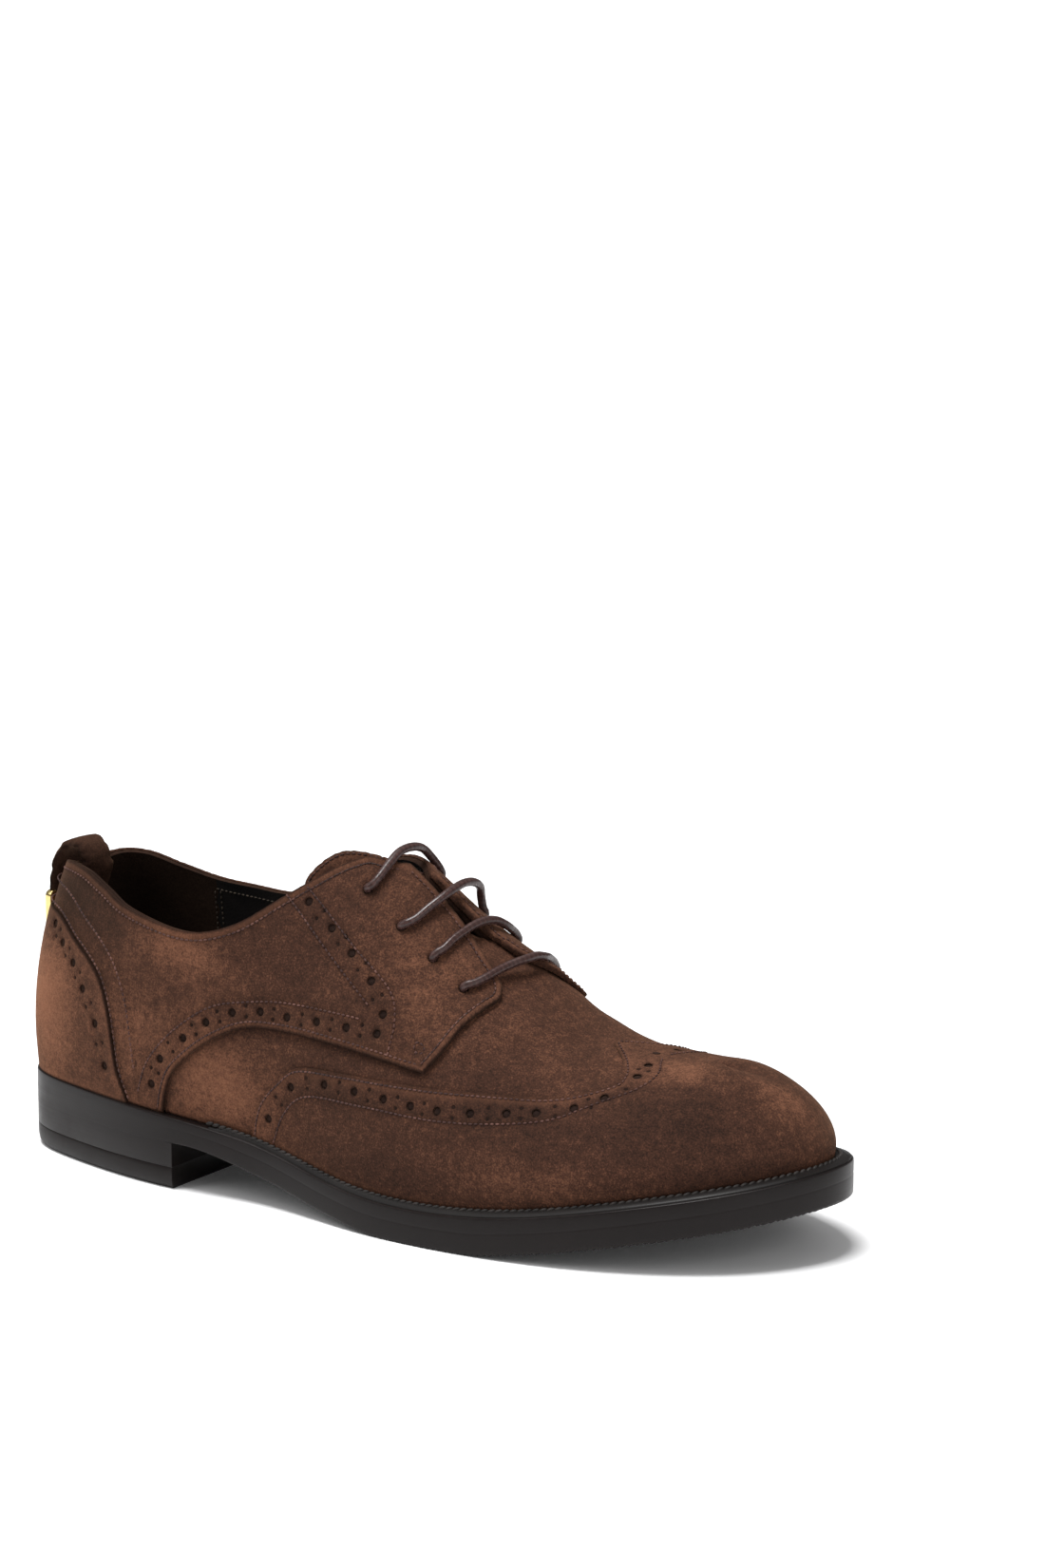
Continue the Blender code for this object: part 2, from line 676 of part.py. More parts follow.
def build_heel_counter():
    """Panel round the heel, rising to a peak on the back seam."""
    solid = Solid()
    row = np.array([0, 4, 8, 12, 16, 20, 24, 27.5, 30.5, 33, 35, 36.4, 37.2])
    seam_shift, columns = 0.15, 11
    edge = counter_station(row) - seam_shift
    station = edge[:, None] * np.linspace(0, 1, columns)[None, :]
    for side in (-1, 1):
        foot = foot_climb(station, side, 2 * GAP)
        solid.add_grid(upper_point(station, np.maximum(row[:, None], foot), side))
    solid.thicken(OVERLAY_GAP, OVERLAY_GAP + OVERLAY_WALL)
    return solid.finish("heel_counter", SUEDE)


def build_back_strip():
    """Strip over the back seam, from the counter's peak to the collar."""
    solid = Solid()
    half_width = 1.5
    climb = np.linspace(COUNTER_EDGE[0].climb + 1.0, TOP_LINE[0].climb, 6)
    station = np.linspace(0, half_width, 3)
    for side in (-1, 1):
        solid.add_grid(upper_point(station[None, :], climb[:, None], side))
    base = 2 * OVERLAY_GAP + OVERLAY_WALL
    solid.thicken(base, base + OVERLAY_WALL)
    return solid.finish("back_strip", SUEDE)


def build_tongue():
    """Tongue under the throat, its foot hidden under the vamp."""
    solid = Solid()
    station = np.array([47.6, 48.3, 49.2, 50.4, 51.8, 53.5, 55.5, 57.2, 59, 61, 63.5])
    turn = np.linspace(-TONGUE_HALF_WIDTH, TONGUE_HALF_WIDTH, 11)
    top_corner = np.interp(station, [47.6, 50.4], [0.7, 1.0])
    solid.add_grid(upper_face(station[:, None], turn[None, :] * top_corner[:, None]))
    outer = -(UPPER_WALL + 2 * GAP)
    solid.thicken(outer - TONGUE_WALL, outer)
    return solid.finish("tongue", SUEDE_DARK)


def heel_frame():
    """Top of the back seam, the direction straight back from it and the direction across."""
    top = upper_point(0.0, TOP_LINE[0].climb, -1)
    away = np.array([HEEL_BACK.x - SPINE[0].x, HEEL_BACK.y - SPINE_Y, 0.0])
    away /= np.linalg.norm(away)
    return top, away, np.array([-away[1], away[0], 0.0])


def build_pull_loop():
    """Strap from inside the collar, over the back seam and down behind it."""
    top, away, across = heel_frame()
    at = np.arange(len(LOOP_PATH))
    where = np.linspace(0, at[-1], LOOP_STEPS)
    out = smooth_curve(at, column(LOOP_PATH, "out"))(where)
    up = smooth_curve(at, column(LOOP_PATH, "up"))(where)
    path = np.stack([out, up], -1)
    along = np.gradient(path, axis=0)
    along /= np.linalg.norm(along, axis=1, keepdims=True)
    normal = np.stack([-along[:, 1], along[:, 0]], -1)
    solid = Solid()
    corners = [(-0.5, -0.5), (-0.5, 0.5), (0.5, 0.5), (0.5, -0.5)]
    rows = []
    for center, normal_out in zip(path, normal):
        row = []
        for wide, thick in corners:
            flat = center + normal_out * (thick * LOOP_WALL)
            row.append(top + away * flat[0] + across * (wide * LOOP_WIDTH) + np.array([0, 0, flat[1]]))
        rows.append(row)
    verts = solid.add_grid(np.array(rows), closed=True)
    solid.add_cap(verts[0])
    solid.add_cap(verts[-1])
    return solid.finish("pull_loop", SUEDE_DARK)


def build_loop_bar():
    """Plain gold bar hanging from the end of the loop, with rounded corners."""
    top, away, across = heel_frame()
    end = LOOP_PATH[-1]
    radius, corner_steps = 2.0, 4
    face = []
    for turn, (wide, tall) in enumerate(((0.5, 0.5), (-0.5, 0.5), (-0.5, -0.5), (0.5, -0.5))):
        for step in range(corner_steps + 1):
            angle = math.radians(90 * turn + 90 * step / corner_steps)
            side = wide * BAR_WIDTH - math.copysign(radius, wide) + radius * math.cos(angle)
            rise = tall * BAR_HEIGHT - math.copysign(radius, tall) + radius * math.sin(angle)
            face.append((side, rise))
    middle_up = end.up - GAP - BAR_HEIGHT / 2
    solid = Solid()
    rows = []
    for depth in (-0.5, 0.5):
        row = []
        for side, rise in face:
            place = top + away * (end.out + depth * BAR_WALL) + across * side
            row.append(place + np.array([0, 0, middle_up + rise]))
        rows.append(row)
    verts = solid.add_grid(np.array(rows), closed=True)
    solid.add_cap(verts[0])
    solid.add_cap(verts[-1])
    return solid.finish("loop_bar", GOLD)


def build_lace_bar(index):
    """One straight bar of the lace, from eyelet to eyelet over the throat."""
    eyelet, arch = EYELETS[index], LACE_ARCH[index]
    steps, sides = 10, 8
    radius = LACE_DIAMETER / 2
    clear = 2 * OVERLAY_GAP + OVERLAY_WALL + radius
    across = np.linspace(0, 1, steps + 1)
    turn = (eyelet.climb - 100) * (1 - across) + (100 - eyelet.medial_climb) * across
    station = eyelet.lateral + (eyelet.medial - eyelet.lateral) * across
    nudge = 0.5
    side_way = upper_face(station, turn + nudge) - upper_face(station, turn - nudge)
    long_way = upper_face(station + nudge, turn) - upper_face(station - nudge, turn)
    normal = np.cross(long_way, side_way)
    normal /= np.linalg.norm(normal, axis=1, keepdims=True)
    lift = clear + arch * np.sin(math.pi * across)
    path = upper_face(station, turn) + normal * lift[:, None]
    along = np.gradient(path, axis=0)
    along /= np.linalg.norm(along, axis=1, keepdims=True)
    beside = np.cross(along, normal)
    beside /= np.linalg.norm(beside, axis=1, keepdims=True)
    over = np.cross(beside, along)
    solid = Solid()
    around = np.linspace(0, 2 * math.pi, sides, endpoint=False)
    rings = path[:, None] + radius * (
        np.cos(around)[None, :, None] * beside[:, None] + np.sin(around)[None, :, None] * over[:, None])
    verts = solid.add_grid(rings, closed=True)
    solid.add_cap(verts[0])
    solid.add_cap(verts[-1])
    return solid.finish(f"lace_bar_{index + 1}", CORD)


def center_on_origin(items):
    """Hang every piece on one empty so that the shoe stands centred on the origin."""
    corners = np.concatenate([[v.co for v in item.data.vertices] for item in items])
    low, high = corners.min(axis=0), corners.max(axis=0)
    shoe = bpy.data.objects.new("shoe", None)
    bpy.context.scene.collection.objects.link(shoe)
    shoe.location = (-(low[0] + high[0]) / 2, -(low[1] + high[1]) / 2, -low[2])
    for item in items:
        item.parent = shoe


def main():
    """Clear the scene and build the shoe."""
    for item in list(bpy.data.objects):
        bpy.data.objects.remove(item, do_unlink=True)
    items = [
        build_outsole(),
        build_heel_slab("heel_block", TOP_LIFT + GAP, HEEL_SEAT - GAP, HEEL_BEVEL, RUBBER),
        build_heel_slab("heel_top_lift", 0.0, TOP_LIFT, LIFT_BEVEL, RUBBER),
        build_welt(),
        build_insole(),
        build_upper(),
        build_wing_cap(),
        build_quarter("quarter_lateral", -1),
        build_quarter("quarter_medial", 1),
        build_heel_counter(),
        build_back_strip(),
        build_tongue(),
        build_pull_loop(),
        build_loop_bar(),
    ]
    items += [build_lace_bar(index) for index in range(len(EYELETS))]
    center_on_origin(items)


main()
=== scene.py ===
"""Looks of a right suede wing-tip derby shoe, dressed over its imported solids.

Sizes are in millimetres in the last's own frame: x from the back of the heel to the toe, y from the lateral
(-) to the medial (+) side, z up from the floor. Meshes are written in metres, in the frame of the solids.
"""

from __future__ import annotations

import logging
import math
from dataclasses import dataclass, field
from enum import Enum
from typing import Any, Callable, NamedTuple, Sequence

import bpy
import numpy as np
from bpy.types import Material, NodeSocket, Object
from mathutils import Matrix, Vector
from mathutils.geometry import delaunay_2d_cdt
from mathutils.kdtree import KDTree

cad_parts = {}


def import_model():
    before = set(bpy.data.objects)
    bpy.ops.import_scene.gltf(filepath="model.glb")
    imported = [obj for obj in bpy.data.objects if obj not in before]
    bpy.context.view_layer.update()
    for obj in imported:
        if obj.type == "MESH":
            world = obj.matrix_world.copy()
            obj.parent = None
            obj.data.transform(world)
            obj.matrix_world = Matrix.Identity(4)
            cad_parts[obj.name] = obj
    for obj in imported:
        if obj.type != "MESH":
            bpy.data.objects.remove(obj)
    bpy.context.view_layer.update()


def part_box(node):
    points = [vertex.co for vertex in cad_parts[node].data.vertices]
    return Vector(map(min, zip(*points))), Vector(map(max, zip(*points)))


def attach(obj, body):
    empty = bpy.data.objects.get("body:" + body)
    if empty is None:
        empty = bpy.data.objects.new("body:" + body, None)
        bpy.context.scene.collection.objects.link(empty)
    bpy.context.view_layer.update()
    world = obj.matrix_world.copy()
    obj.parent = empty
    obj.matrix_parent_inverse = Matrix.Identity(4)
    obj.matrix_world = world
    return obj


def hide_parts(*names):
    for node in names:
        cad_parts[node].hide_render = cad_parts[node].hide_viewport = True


LOG = logging.getLogger("shoe")
MM = 0.001
BODY = "root"
# Length of one unit of station and of turn where the upper is laid out flat
PLANE_SCALE = np.array([3.4, 0.95])

Array = np.ndarray
Curve = Callable[[Any], Array]
Triple = tuple[float, float, float]
Face = tuple[int, ...]
# A place on one side of the upper: station and climb
Place = tuple[float, float]


class Side(Enum):
    """A side of the shoe, with the sign of its y."""

    LATERAL = -1
    MEDIAL = 1


class Hem(Enum):
    """What a stretch of a panel's outline is: a cut edge, or a line where its two halves join."""

    CUT = "cut"
    JOIN = "join"


class FeatherRow(NamedTuple):
    """Half widths of the feather line at one length, and the sole's ledge outside it."""

    x: float
    lateral: float
    medial: float
    ledge: float


class SpineRow(NamedTuple):
    """Height of the spine at one length, and the fullness of the rib below it."""

    x: float
    z: float
    fullness: float


class Crease(NamedTuple):
    """A soft trough with a low ridge on both sides: place, size, depth and slant."""

    station: float
    turn: float
    length: float
    width: float
    depth: float
    slant: float


class Patch(NamedTuple):
    """A soft patch of the upper: place, reach ahead and up, strength."""

    station: float
    turn: float
    ahead: float
    up: float
    strength: float


def rows(kind: type, *values: tuple[float, ...]) -> tuple:
    """A table with rows of one kind."""
    return tuple(kind(*row) for row in values)


def smooth_curve(knots: Sequence[float], values: Any) -> Curve:
    """Cubic curve through the knots with no curvature at its ends.

    Args:
        knots: Where the curve's points lie, in rising order.
        values: The value, or row of values, at each knot.

    Returns:
        A function from places to values.
    """
    xs = np.asarray(knots, float)
    ys = np.asarray(values, float)
    count = len(xs)
    step = np.diff(xs)
    matrix = np.zeros((count, count))
    rhs = np.zeros(ys.shape)
    matrix[0, 0] = 1.0
    matrix[-1, -1] = 1.0
    for i in range(1, count - 1):
        matrix[i, i - 1:i + 2] = step[i - 1], 2 * (step[i - 1] + step[i]), step[i]
        rhs[i] = 6 * ((ys[i + 1] - ys[i]) / step[i] - (ys[i] - ys[i - 1]) / step[i - 1])
    bend = np.linalg.solve(matrix, rhs)

    def curve(x: Any) -> Array:
        """The curve's value at a place.

        Args:
            x: The place, or an array of places.

        Returns:
            The value, or row of values, at each place.
        """
        x = np.asarray(x, float)
        i = np.clip(np.searchsorted(xs, x) - 1, 0, count - 2)
        before, after, width = x - xs[i], xs[i + 1] - x, step[i]
        if ys.ndim > 1:
            before, after, width = before[..., None], after[..., None], width[..., None]
        arch = (bend[i] * after ** 3 + bend[i + 1] * before ** 3) / (6 * width)
        left = (ys[i] / width - bend[i] * width / 6) * after
        right = (ys[i + 1] / width - bend[i + 1] * width / 6) * before
        return arch + left + right

    return curve


def steady_curve(knots: Sequence[float], values: Sequence[float]) -> Curve:
    """Cubic curve through the knots that never overshoots them.

    Args:
        knots: Where the curve's points lie, in rising order.
        values: The value at each knot.

    Returns:
        A function from places to values.
    """
    xs = np.asarray(knots, float)
    ys = np.asarray(values, float)
    step = np.diff(xs)
    rise = np.diff(ys) / step
    slope = np.zeros_like(ys)
    slope[0], slope[-1] = rise[0], rise[-1]
    for i in range(1, len(xs) - 1):
        if rise[i - 1] * rise[i] > 0:
            near, far = 2 * step[i] + step[i - 1], step[i] + 2 * step[i - 1]
            slope[i] = (near + far) / (near / rise[i - 1] + far / rise[i])

    def curve(x: Any) -> Array:
        """The curve's value at a place, held at its ends.

        Args:
            x: The place, or an array of places.

        Returns:
            The value at each place.
        """
        x = np.clip(np.asarray(x, float), xs[0], xs[-1])
        i = np.clip(np.searchsorted(xs, x) - 1, 0, len(xs) - 2)
        t = (x - xs[i]) / step[i]
        start = (2 * t ** 3 - 3 * t ** 2 + 1) * ys[i] + (t ** 3 - 2 * t ** 2 + t) * step[i] * slope[i]
        end = (3 * t ** 2 - 2 * t ** 3) * ys[i + 1] + (t ** 3 - t ** 2) * step[i] * slope[i + 1]
        return start + end

    return curve


def unit(vectors: Array) -> Array:
    """The vectors at length one."""
    return vectors / np.maximum(np.linalg.norm(vectors, axis=-1, keepdims=True), 1e-9)


def fade(distance: Array, reach: float) -> Array:
    """A bell that is one at no distance and falls off with reach."""
    return np.exp(-(distance / reach) ** 2)


def run_lengths(points: Array) -> Array:
    """The distance along a line at each of its points."""
    return np.concatenate([[0.0], np.cumsum(np.linalg.norm(np.diff(points, axis=0), axis=1))])


def flowing(controls: Array, steps: int = 24) -> Array:
    """A centripetal curve through control points.

    Args:
        controls: The points, one in each row.
        steps: How many points to give for each stretch.

    Returns:
        The curve's points.
    """
    first = 2 * controls[0] - controls[1]
    last = 2 * controls[-1] - controls[-2]
    points = np.concatenate([[first], controls, [last]])
    out = []
    for i in range(1, len(points) - 2):
        four = points[i - 1:i + 3]
        gaps = np.maximum(np.sqrt(np.linalg.norm(np.diff(four, axis=0), axis=1)), 1e-6)
        t0, t1, t2, t3 = np.concatenate([[0.0], np.cumsum(gaps)])
        t = np.linspace(t1, t2, steps, endpoint=False)[:, None]
        a1 = (t1 - t) / (t1 - t0) * four[0] + (t - t0) / (t1 - t0) * four[1]
        a2 = (t2 - t) / (t2 - t1) * four[1] + (t - t1) / (t2 - t1) * four[2]
        a3 = (t3 - t) / (t3 - t2) * four[2] + (t - t2) / (t3 - t2) * four[3]
        b1 = (t2 - t) / (t2 - t0) * a1 + (t - t0) / (t2 - t0) * a2
        b2 = (t3 - t) / (t3 - t1) * a2 + (t - t1) / (t3 - t1) * a3
        out.append((t2 - t) / (t2 - t1) * b1 + (t - t1) / (t2 - t1) * b2)
    return np.concatenate(out + [controls[-1:]])


def spaced(points: Array, lengths: Array, step: float) -> Array:
    """Rows of a line picked at even distances along it.

    Args:
        points: The line's rows.
        lengths: The distance along the line at each row.
        step: The distance wanted.

    Returns:
        The picked rows, with both ends kept.
    """
    count = max(1, round(lengths[-1] / step))
    at = np.linspace(0.0, lengths[-1], count + 1)
    return np.stack([np.interp(at, lengths, column) for column in points.T], -1)


def inside(points: Array, loop: Array) -> Array:
    """Which points lie inside a closed loop in the plane.

    Args:
        points: Rows of x and y.
        loop: The loop's corners, in order.

    Returns:
        A truth value for each point.
    """
    x, y = points[:, 0][:, None], points[:, 1][:, None]
    x0, y0 = loop[:, 0][None], loop[:, 1][None]
    x1, y1 = np.roll(loop[:, 0], -1)[None], np.roll(loop[:, 1], -1)[None]
    spans = (y0 > y) != (y1 > y)
    slope = np.where(y1 == y0, 1e-12, y1 - y0)
    return ((spans & (x < x0 + (y - y0) * (x1 - x0) / slope)).sum(axis=1) % 2) == 1


def near_tree(points: Array) -> KDTree:
    """A search tree of points in space.

    Args:
        points: Rows of x, y and z.

    Returns:
        The tree, which gives the points' row numbers.
    """
    tree = KDTree(len(points))
    for i, point in enumerate(points):
        tree.insert(point, i)
    tree.balance()
    return tree


def distances(points: Array, others: Array, far: float) -> Array:
    """Distance from each point to the nearest of the others.

    Args:
        points: Rows of x, y and z.
        others: The points to measure to.
        far: The most that is given, also where there are no others.

    Returns:
        A distance for each point.
    """
    if len(others) == 0:
        return np.full(len(points), far)
    tree = near_tree(others)
    return np.array([min(tree.find(point)[2], far) for point in points])


@dataclass
class Last:
    """The form that the upper is pulled over, and the sole's two faces.

    A place is named by a station, 0 at the heel to 100 at the toe along the feather line where upper and
    sole meet, and a turn, -100 at the lateral feather line, 0 on the spine, 100 at the medial one. A climb
    is 100 less the size of the turn.
    """

    feather_rows: tuple[FeatherRow, ...] = rows(
        FeatherRow, (8, 11.5, 22.5, 2.8), (28, 23.5, 29.0, 2.8), (75, 36.0, 26.0, 3.0),
        (115, 37.8, 23.4, 3.2), (155, 45.4, 33.4, 4.2), (195, 48.5, 44.0, 5.5),
        (232, 44.5, 45.5, 6.5), (262, 34.0, 38.0, 7.0), (284, 17.0, 24.5, 7.0))
    heel_back: Triple = (2.8, 6.5, 2.8)
    toe_tip: Triple = (293.5, 7.5, 7.0)
    sole_top_rows: tuple[Place, ...] = (
        (0, 26.0), (40, 25.5), (75, 24.2), (115, 19.5), (150, 13.0),
        (185, 11.5), (215, 14.0), (250, 20.0), (280, 25.5), (302, 29.5))
    sole_bottom_rows: tuple[Place, ...] = (
        (0, 15.5), (82, 15.5), (115, 9.5), (145, 3.2), (168, 0.0),
        (198, 0.0), (220, 2.8), (250, 8.2), (280, 13.8), (302, 18.0))
    spine_rows: tuple[SpineRow, ...] = rows(
        SpineRow, (46, 128.0, 2.4), (80, 134.0, 2.3), (112, 129.0, 2.0), (146, 112.5, 1.85), (170, 93.0, 1.9),
        (190, 77.5, 2.0), (208, 66.0, 2.1), (226, 59.0, 2.2), (245, 56.5, 2.3), (262, 55.5, 2.4))
    spine_fan: float = 14.0
    spine_y: float = -2.5
    swell_rows: tuple[Place, ...] = (
        (0, 1.5), (8, 1.6), (30, 1.2), (50, 1.6), (75, 3.0), (90, 2.2), (100, 0.6))
    swell_height: float = 0.3
    swell_sharpness: float = 1.5
    full: tuple[Patch, ...] = rows(
        Patch, (0, -48, 20, 30, -4.3), (0, 48, 20, 30, -4.3), (64, 14, 24, 16, 3.2), (91, -16, 24, 24, 1.6),
        (91, 16, 24, 24, 1.6))
    creases: tuple[Crease, ...] = rows(
        Crease, (66, -34, 30, 4, 0.45, 62), (69.5, -22, 26, 4.5, 0.4, 70), (66.5, 32, 28, 4, 0.45, -62),
        (63, -14, 20, 5, 0.5, 78), (30, -72, 34, 7, 0.55, 12), (25, -84, 26, 6, 0.4, -24),
        (31, 74, 32, 7, 0.5, -12), (44, -62, 24, 6, 0.35, 40), (11, -66, 22, 6, 0.35, -8))
    ridge_at: float = 1.9
    # Brushed nap with painted light and shade, lighter above nought: lighter on the lower heel side, under
    # the quarter and along the toe's top, darker higher on the heel and down the toe's side.
    patches: tuple[Patch, ...] = rows(
        Patch, (9, -85, 20, 15, 1.5), (12, -60, 22, 13, -1.2), (55, -36, 16, 12, 0.15),
        (66, -66, 40, 22, -0.22),
        (33, -92, 18, 9, 1.0), (29, -70, 18, 5, 0.7), (24, -90, 12, 9, 0.4), (20, -66, 12, 9, -0.4),
        (38, -60, 18, 11, -0.3), (45, -48, 14, 9, -0.1), (57, -46, 13, 10, 0.35), (58, -24, 12, 7, 0.35),
        (50, -80, 22, 6, -0.3), (67, -60, 16, 9, -0.15), (68, -30, 12, 10, 0.2), (55, -94, 24, 6, -0.5),
        (71, -86, 24, 8, 0.4), (73, -48, 12, 9, 0.3), (83, -16, 18, 12, 0.8), (84, -58, 46, 28, -0.45),
        (97, -50, 12, 26, 0.7), (90, -92, 20, 6, -0.4), (30, 80, 30, 12, 0.5), (12, 70, 20, 14, -0.4),
        (55, 60, 24, 12, 0.4), (70, 84, 28, 12, -0.5), (84, 50, 18, 14, 0.5))
    nap_and_shade_range: tuple[float, float] = (-1.4, 1.6)
    sole_top: Curve = field(init=False)
    sole_bottom: Curve = field(init=False)
    spine_height: Curve = field(init=False)
    fullness: Curve = field(init=False)
    swell: Curve = field(init=False)
    runs: dict[int, Array] = field(init=False)
    marks: dict[int, Array] = field(init=False)
    spine_at: tuple[Array, Array] = field(init=False)
    shift: Array = field(init=False)

    def __post_init__(self) -> None:
        """Work out the curves once."""
        self.sole_top = smooth_curve(*zip(*self.sole_top_rows))
        self.sole_bottom = steady_curve(*zip(*self.sole_bottom_rows))
        spine_x, spine_z, fullness = zip(*self.spine_rows)
        self.spine_height = smooth_curve(spine_x, spine_z)
        self.fullness = smooth_curve(spine_x, fullness)
        self.swell = steady_curve(*zip(*self.swell_rows))
        self.runs = self._feather_runs()
        self.marks = {}
        for sign, run in self.runs.items():
            length = run_lengths(run[:, :2])
            self.marks[sign] = 100.0 * length / length[-1]
        self.spine_at = self._spine_table()
        self.shift = np.zeros(3)

    def _feather_runs(self) -> dict[int, Array]:
        """The closed feather line as two runs from heel to toe.

        Returns:
            Rows of x, y and ledge for each side's sign.
        """
        lateral = [self.heel_back] + [(r.x, -r.lateral, r.ledge) for r in self.feather_rows] + [self.toe_tip]
        medial = [self.heel_back] + [(r.x, r.medial, r.ledge) for r in self.feather_rows] + [self.toe_tip]
        loop = np.array(lateral + medial[-2::-1], float)
        reach = np.sqrt(np.linalg.norm(np.diff(loop[:, :2], axis=0), axis=1))
        at = np.concatenate([[0.0], np.cumsum(reach)])
        wrap = 4
        knots = np.concatenate([at[-1 - wrap:-1] - at[-1], at, at[1:1 + wrap] + at[-1]])
        curve = smooth_curve(knots, np.concatenate([loop[-1 - wrap:-1], loop, loop[1:1 + wrap]]))
        toe = at[len(lateral) - 1]
        samples = 600
        return {-1: curve(np.linspace(0.0, toe, samples)), 1: curve(np.linspace(at[-1], toe, samples))}

    def _spine_table(self) -> tuple[Array, Array]:
        """Where each station's rib meets the spine: straight across, fanned together at both ends.

        Returns:
            The stations, and the x of each on the spine.
        """
        station = np.linspace(0.0, 100.0, 401)
        middle = (self.feather(-1, station)[:, 0] + self.feather(1, station)[:, 0]) / 2
        first, last, fan = self.spine_rows[0].x, self.spine_rows[-1].x, self.spine_fan
        held = last - fan * np.log1p(np.exp((last - middle) / fan))
        held = first + fan * np.log1p(np.exp((held - first) / fan))
        return station, first + (last - first) * (held - held[0]) / (held[-1] - held[0])

    def feather(self, sign: int, station: Any, out: Any = 0.0, share: float = 0.0) -> Array:
        """Plan points on the feather line.

        Args:
            sign: -1 for the lateral side, 1 for the medial.
            station: Stations of the points.
            out: How far to move them outwards.
            share: What share of the sole's ledge to move them outwards as well.

        Returns:
            The points' x and y.
        """
        station = np.asarray(station, float)
        run, at = self.runs[sign], self.marks[sign]

        def plan(where: Array, axes: tuple[int, ...]) -> Array:
            """The run's columns at some stations."""
            return np.stack([np.interp(where, at, run[:, k]) for k in axes], -1)

        nudge = 0.1
        ahead = plan(np.clip(station + nudge, 0, 100), (0, 1))
        along = unit(ahead - plan(np.clip(station - nudge, 0, 100), (0, 1)))
        outward = -sign * np.stack([along[..., 1], -along[..., 0]], -1)
        point = plan(station, (0, 1, 2))
        return point[..., :2] + outward * (np.asarray(out)[..., None] + share * point[..., 2:3])

    def face(self, station: Any, turn: Any) -> Array:
        """Points on the upper's outer face.

        Args:
            station: Stations of the points.
            turn: Their turns.

        Returns:
            The points' x, y and z.
        """
        station, turn = np.broadcast_arrays(np.asarray(station, float), np.asarray(turn, float))
        plan = np.where((turn < 0)[..., None], self.feather(-1, station), self.feather(1, station))
        foot = self.sole_top(plan[..., 0])
        spine_x = np.interp(station, *self.spine_at)
        axis = np.stack([spine_x, np.full_like(spine_x, self.spine_y)], -1)
        slope = self.spine_height(spine_x + 0.5) - self.spine_height(spine_x - 0.5)
        power = 2.0 / self.fullness(spine_x)
        angle = (1 - np.abs(turn) / 100) * math.pi / 2
        reach = np.clip(np.cos(angle), 0, 1) ** power
        rise = np.clip(np.sin(angle), 0, 1) ** power
        span = np.linalg.norm(plan - axis, axis=-1)
        height = rise / self.swell_height
        swell = self.swell(station) * (height * np.exp(1 - height)) ** self.swell_sharpness
        out = span * reach + swell * (reach > 1e-6)
        place = axis + (plan - axis) * (out / span)[..., None]
        roof = self.spine_height(spine_x) + slope * (place[..., 0] - spine_x)
        points = np.concatenate([place, (foot + (roof - foot) * rise)[..., None]], -1)
        lean = unit(np.concatenate([(plan - axis) * (reach / span)[..., None], rise[..., None]], -1))
        return points + lean * self.spread(self.full, station, turn)[..., None]

    def axes(self, station: Array, turn: Array) -> tuple[Array, Array, Array]:
        """Directions on the outer face.

        Args:
            station: Stations of the points.
            turn: Their turns.

        Returns:
            Movement for one unit of station and of turn, and the outward normal.
        """
        step_s, step_t = 0.2, 0.6
        s0, s1 = np.clip(station - step_s, 0, 100), np.clip(station + step_s, 0, 100)
        t0, t1 = np.clip(turn - step_t, -100, 100), np.clip(turn + step_t, -100, 100)
        along = (self.face(s1, turn) - self.face(s0, turn)) / (s1 - s0)[..., None]
        up = (self.face(station, t1) - self.face(station, t0)) / (t1 - t0)[..., None]
        return along, up, unit(np.cross(along, up))

    def carry(self, places: Array, moves: Array) -> Array:
        """Places moved over the face by small moves in space.

        Args:
            places: Rows of station and turn.
            moves: Rows of x, y and z, along the face.

        Returns:
            The new rows of station and turn.
        """
        along, up, _ = self.axes(*places.T)
        aa, ab, bb = (along * along).sum(1), (along * up).sum(1), (up * up).sum(1)
        ma, mb = (moves * along).sum(1), (moves * up).sum(1)
        size = np.maximum(aa * bb - ab * ab, 1e-9)
        change = np.stack([(ma * bb - mb * ab) / size, (mb * aa - ma * ab) / size], -1)
        return places + change

    def relief(self, station: Array, turn: Array) -> Array:
        """How far the creases push the face in or out.

        Args:
            station: Stations of the points.
            turn: Their turns.

        Returns:
            The push at each point, outwards above nought.
        """
        total = np.zeros_like(station)
        for crease in self.creases:
            ahead = (station - crease.station) * PLANE_SCALE[0]
            above = (turn - crease.turn) * PLANE_SCALE[1]
            slant = math.radians(crease.slant)
            along = (ahead * math.cos(slant) + above * math.sin(slant)) / crease.length
            across = (above * math.cos(slant) - ahead * math.sin(slant)) / crease.width
            shape = np.exp(-across ** 2) - 0.5 * np.exp(-((np.abs(across) - self.ridge_at) ** 2))
            total -= crease.depth * shape * np.exp(-(2.0 * along) ** 2)
        return total

    @staticmethod
    def spread(patches: Sequence[Patch], station: Array, turn: Array) -> Array:
        """The patches' strengths added up.

        Args:
            patches: The patches.
            station: Stations of the points.
            turn: Their turns.

        Returns:
            The strength at each point.
        """
        total = np.zeros(np.shape(station))
        for patch in patches:
            ahead = (station - patch.station) * PLANE_SCALE[0] / patch.ahead
            above = (turn - patch.turn) * PLANE_SCALE[1] / patch.up
            total = total + patch.strength * np.exp(-ahead ** 2 - above ** 2)
        return total

    def nap(self, station: Array, turn: Array) -> Array:
        """How light the nap is brushed, with painted light and shade, dark below nought."""
        return np.clip(self.spread(self.patches, station, turn), *self.nap_and_shade_range)

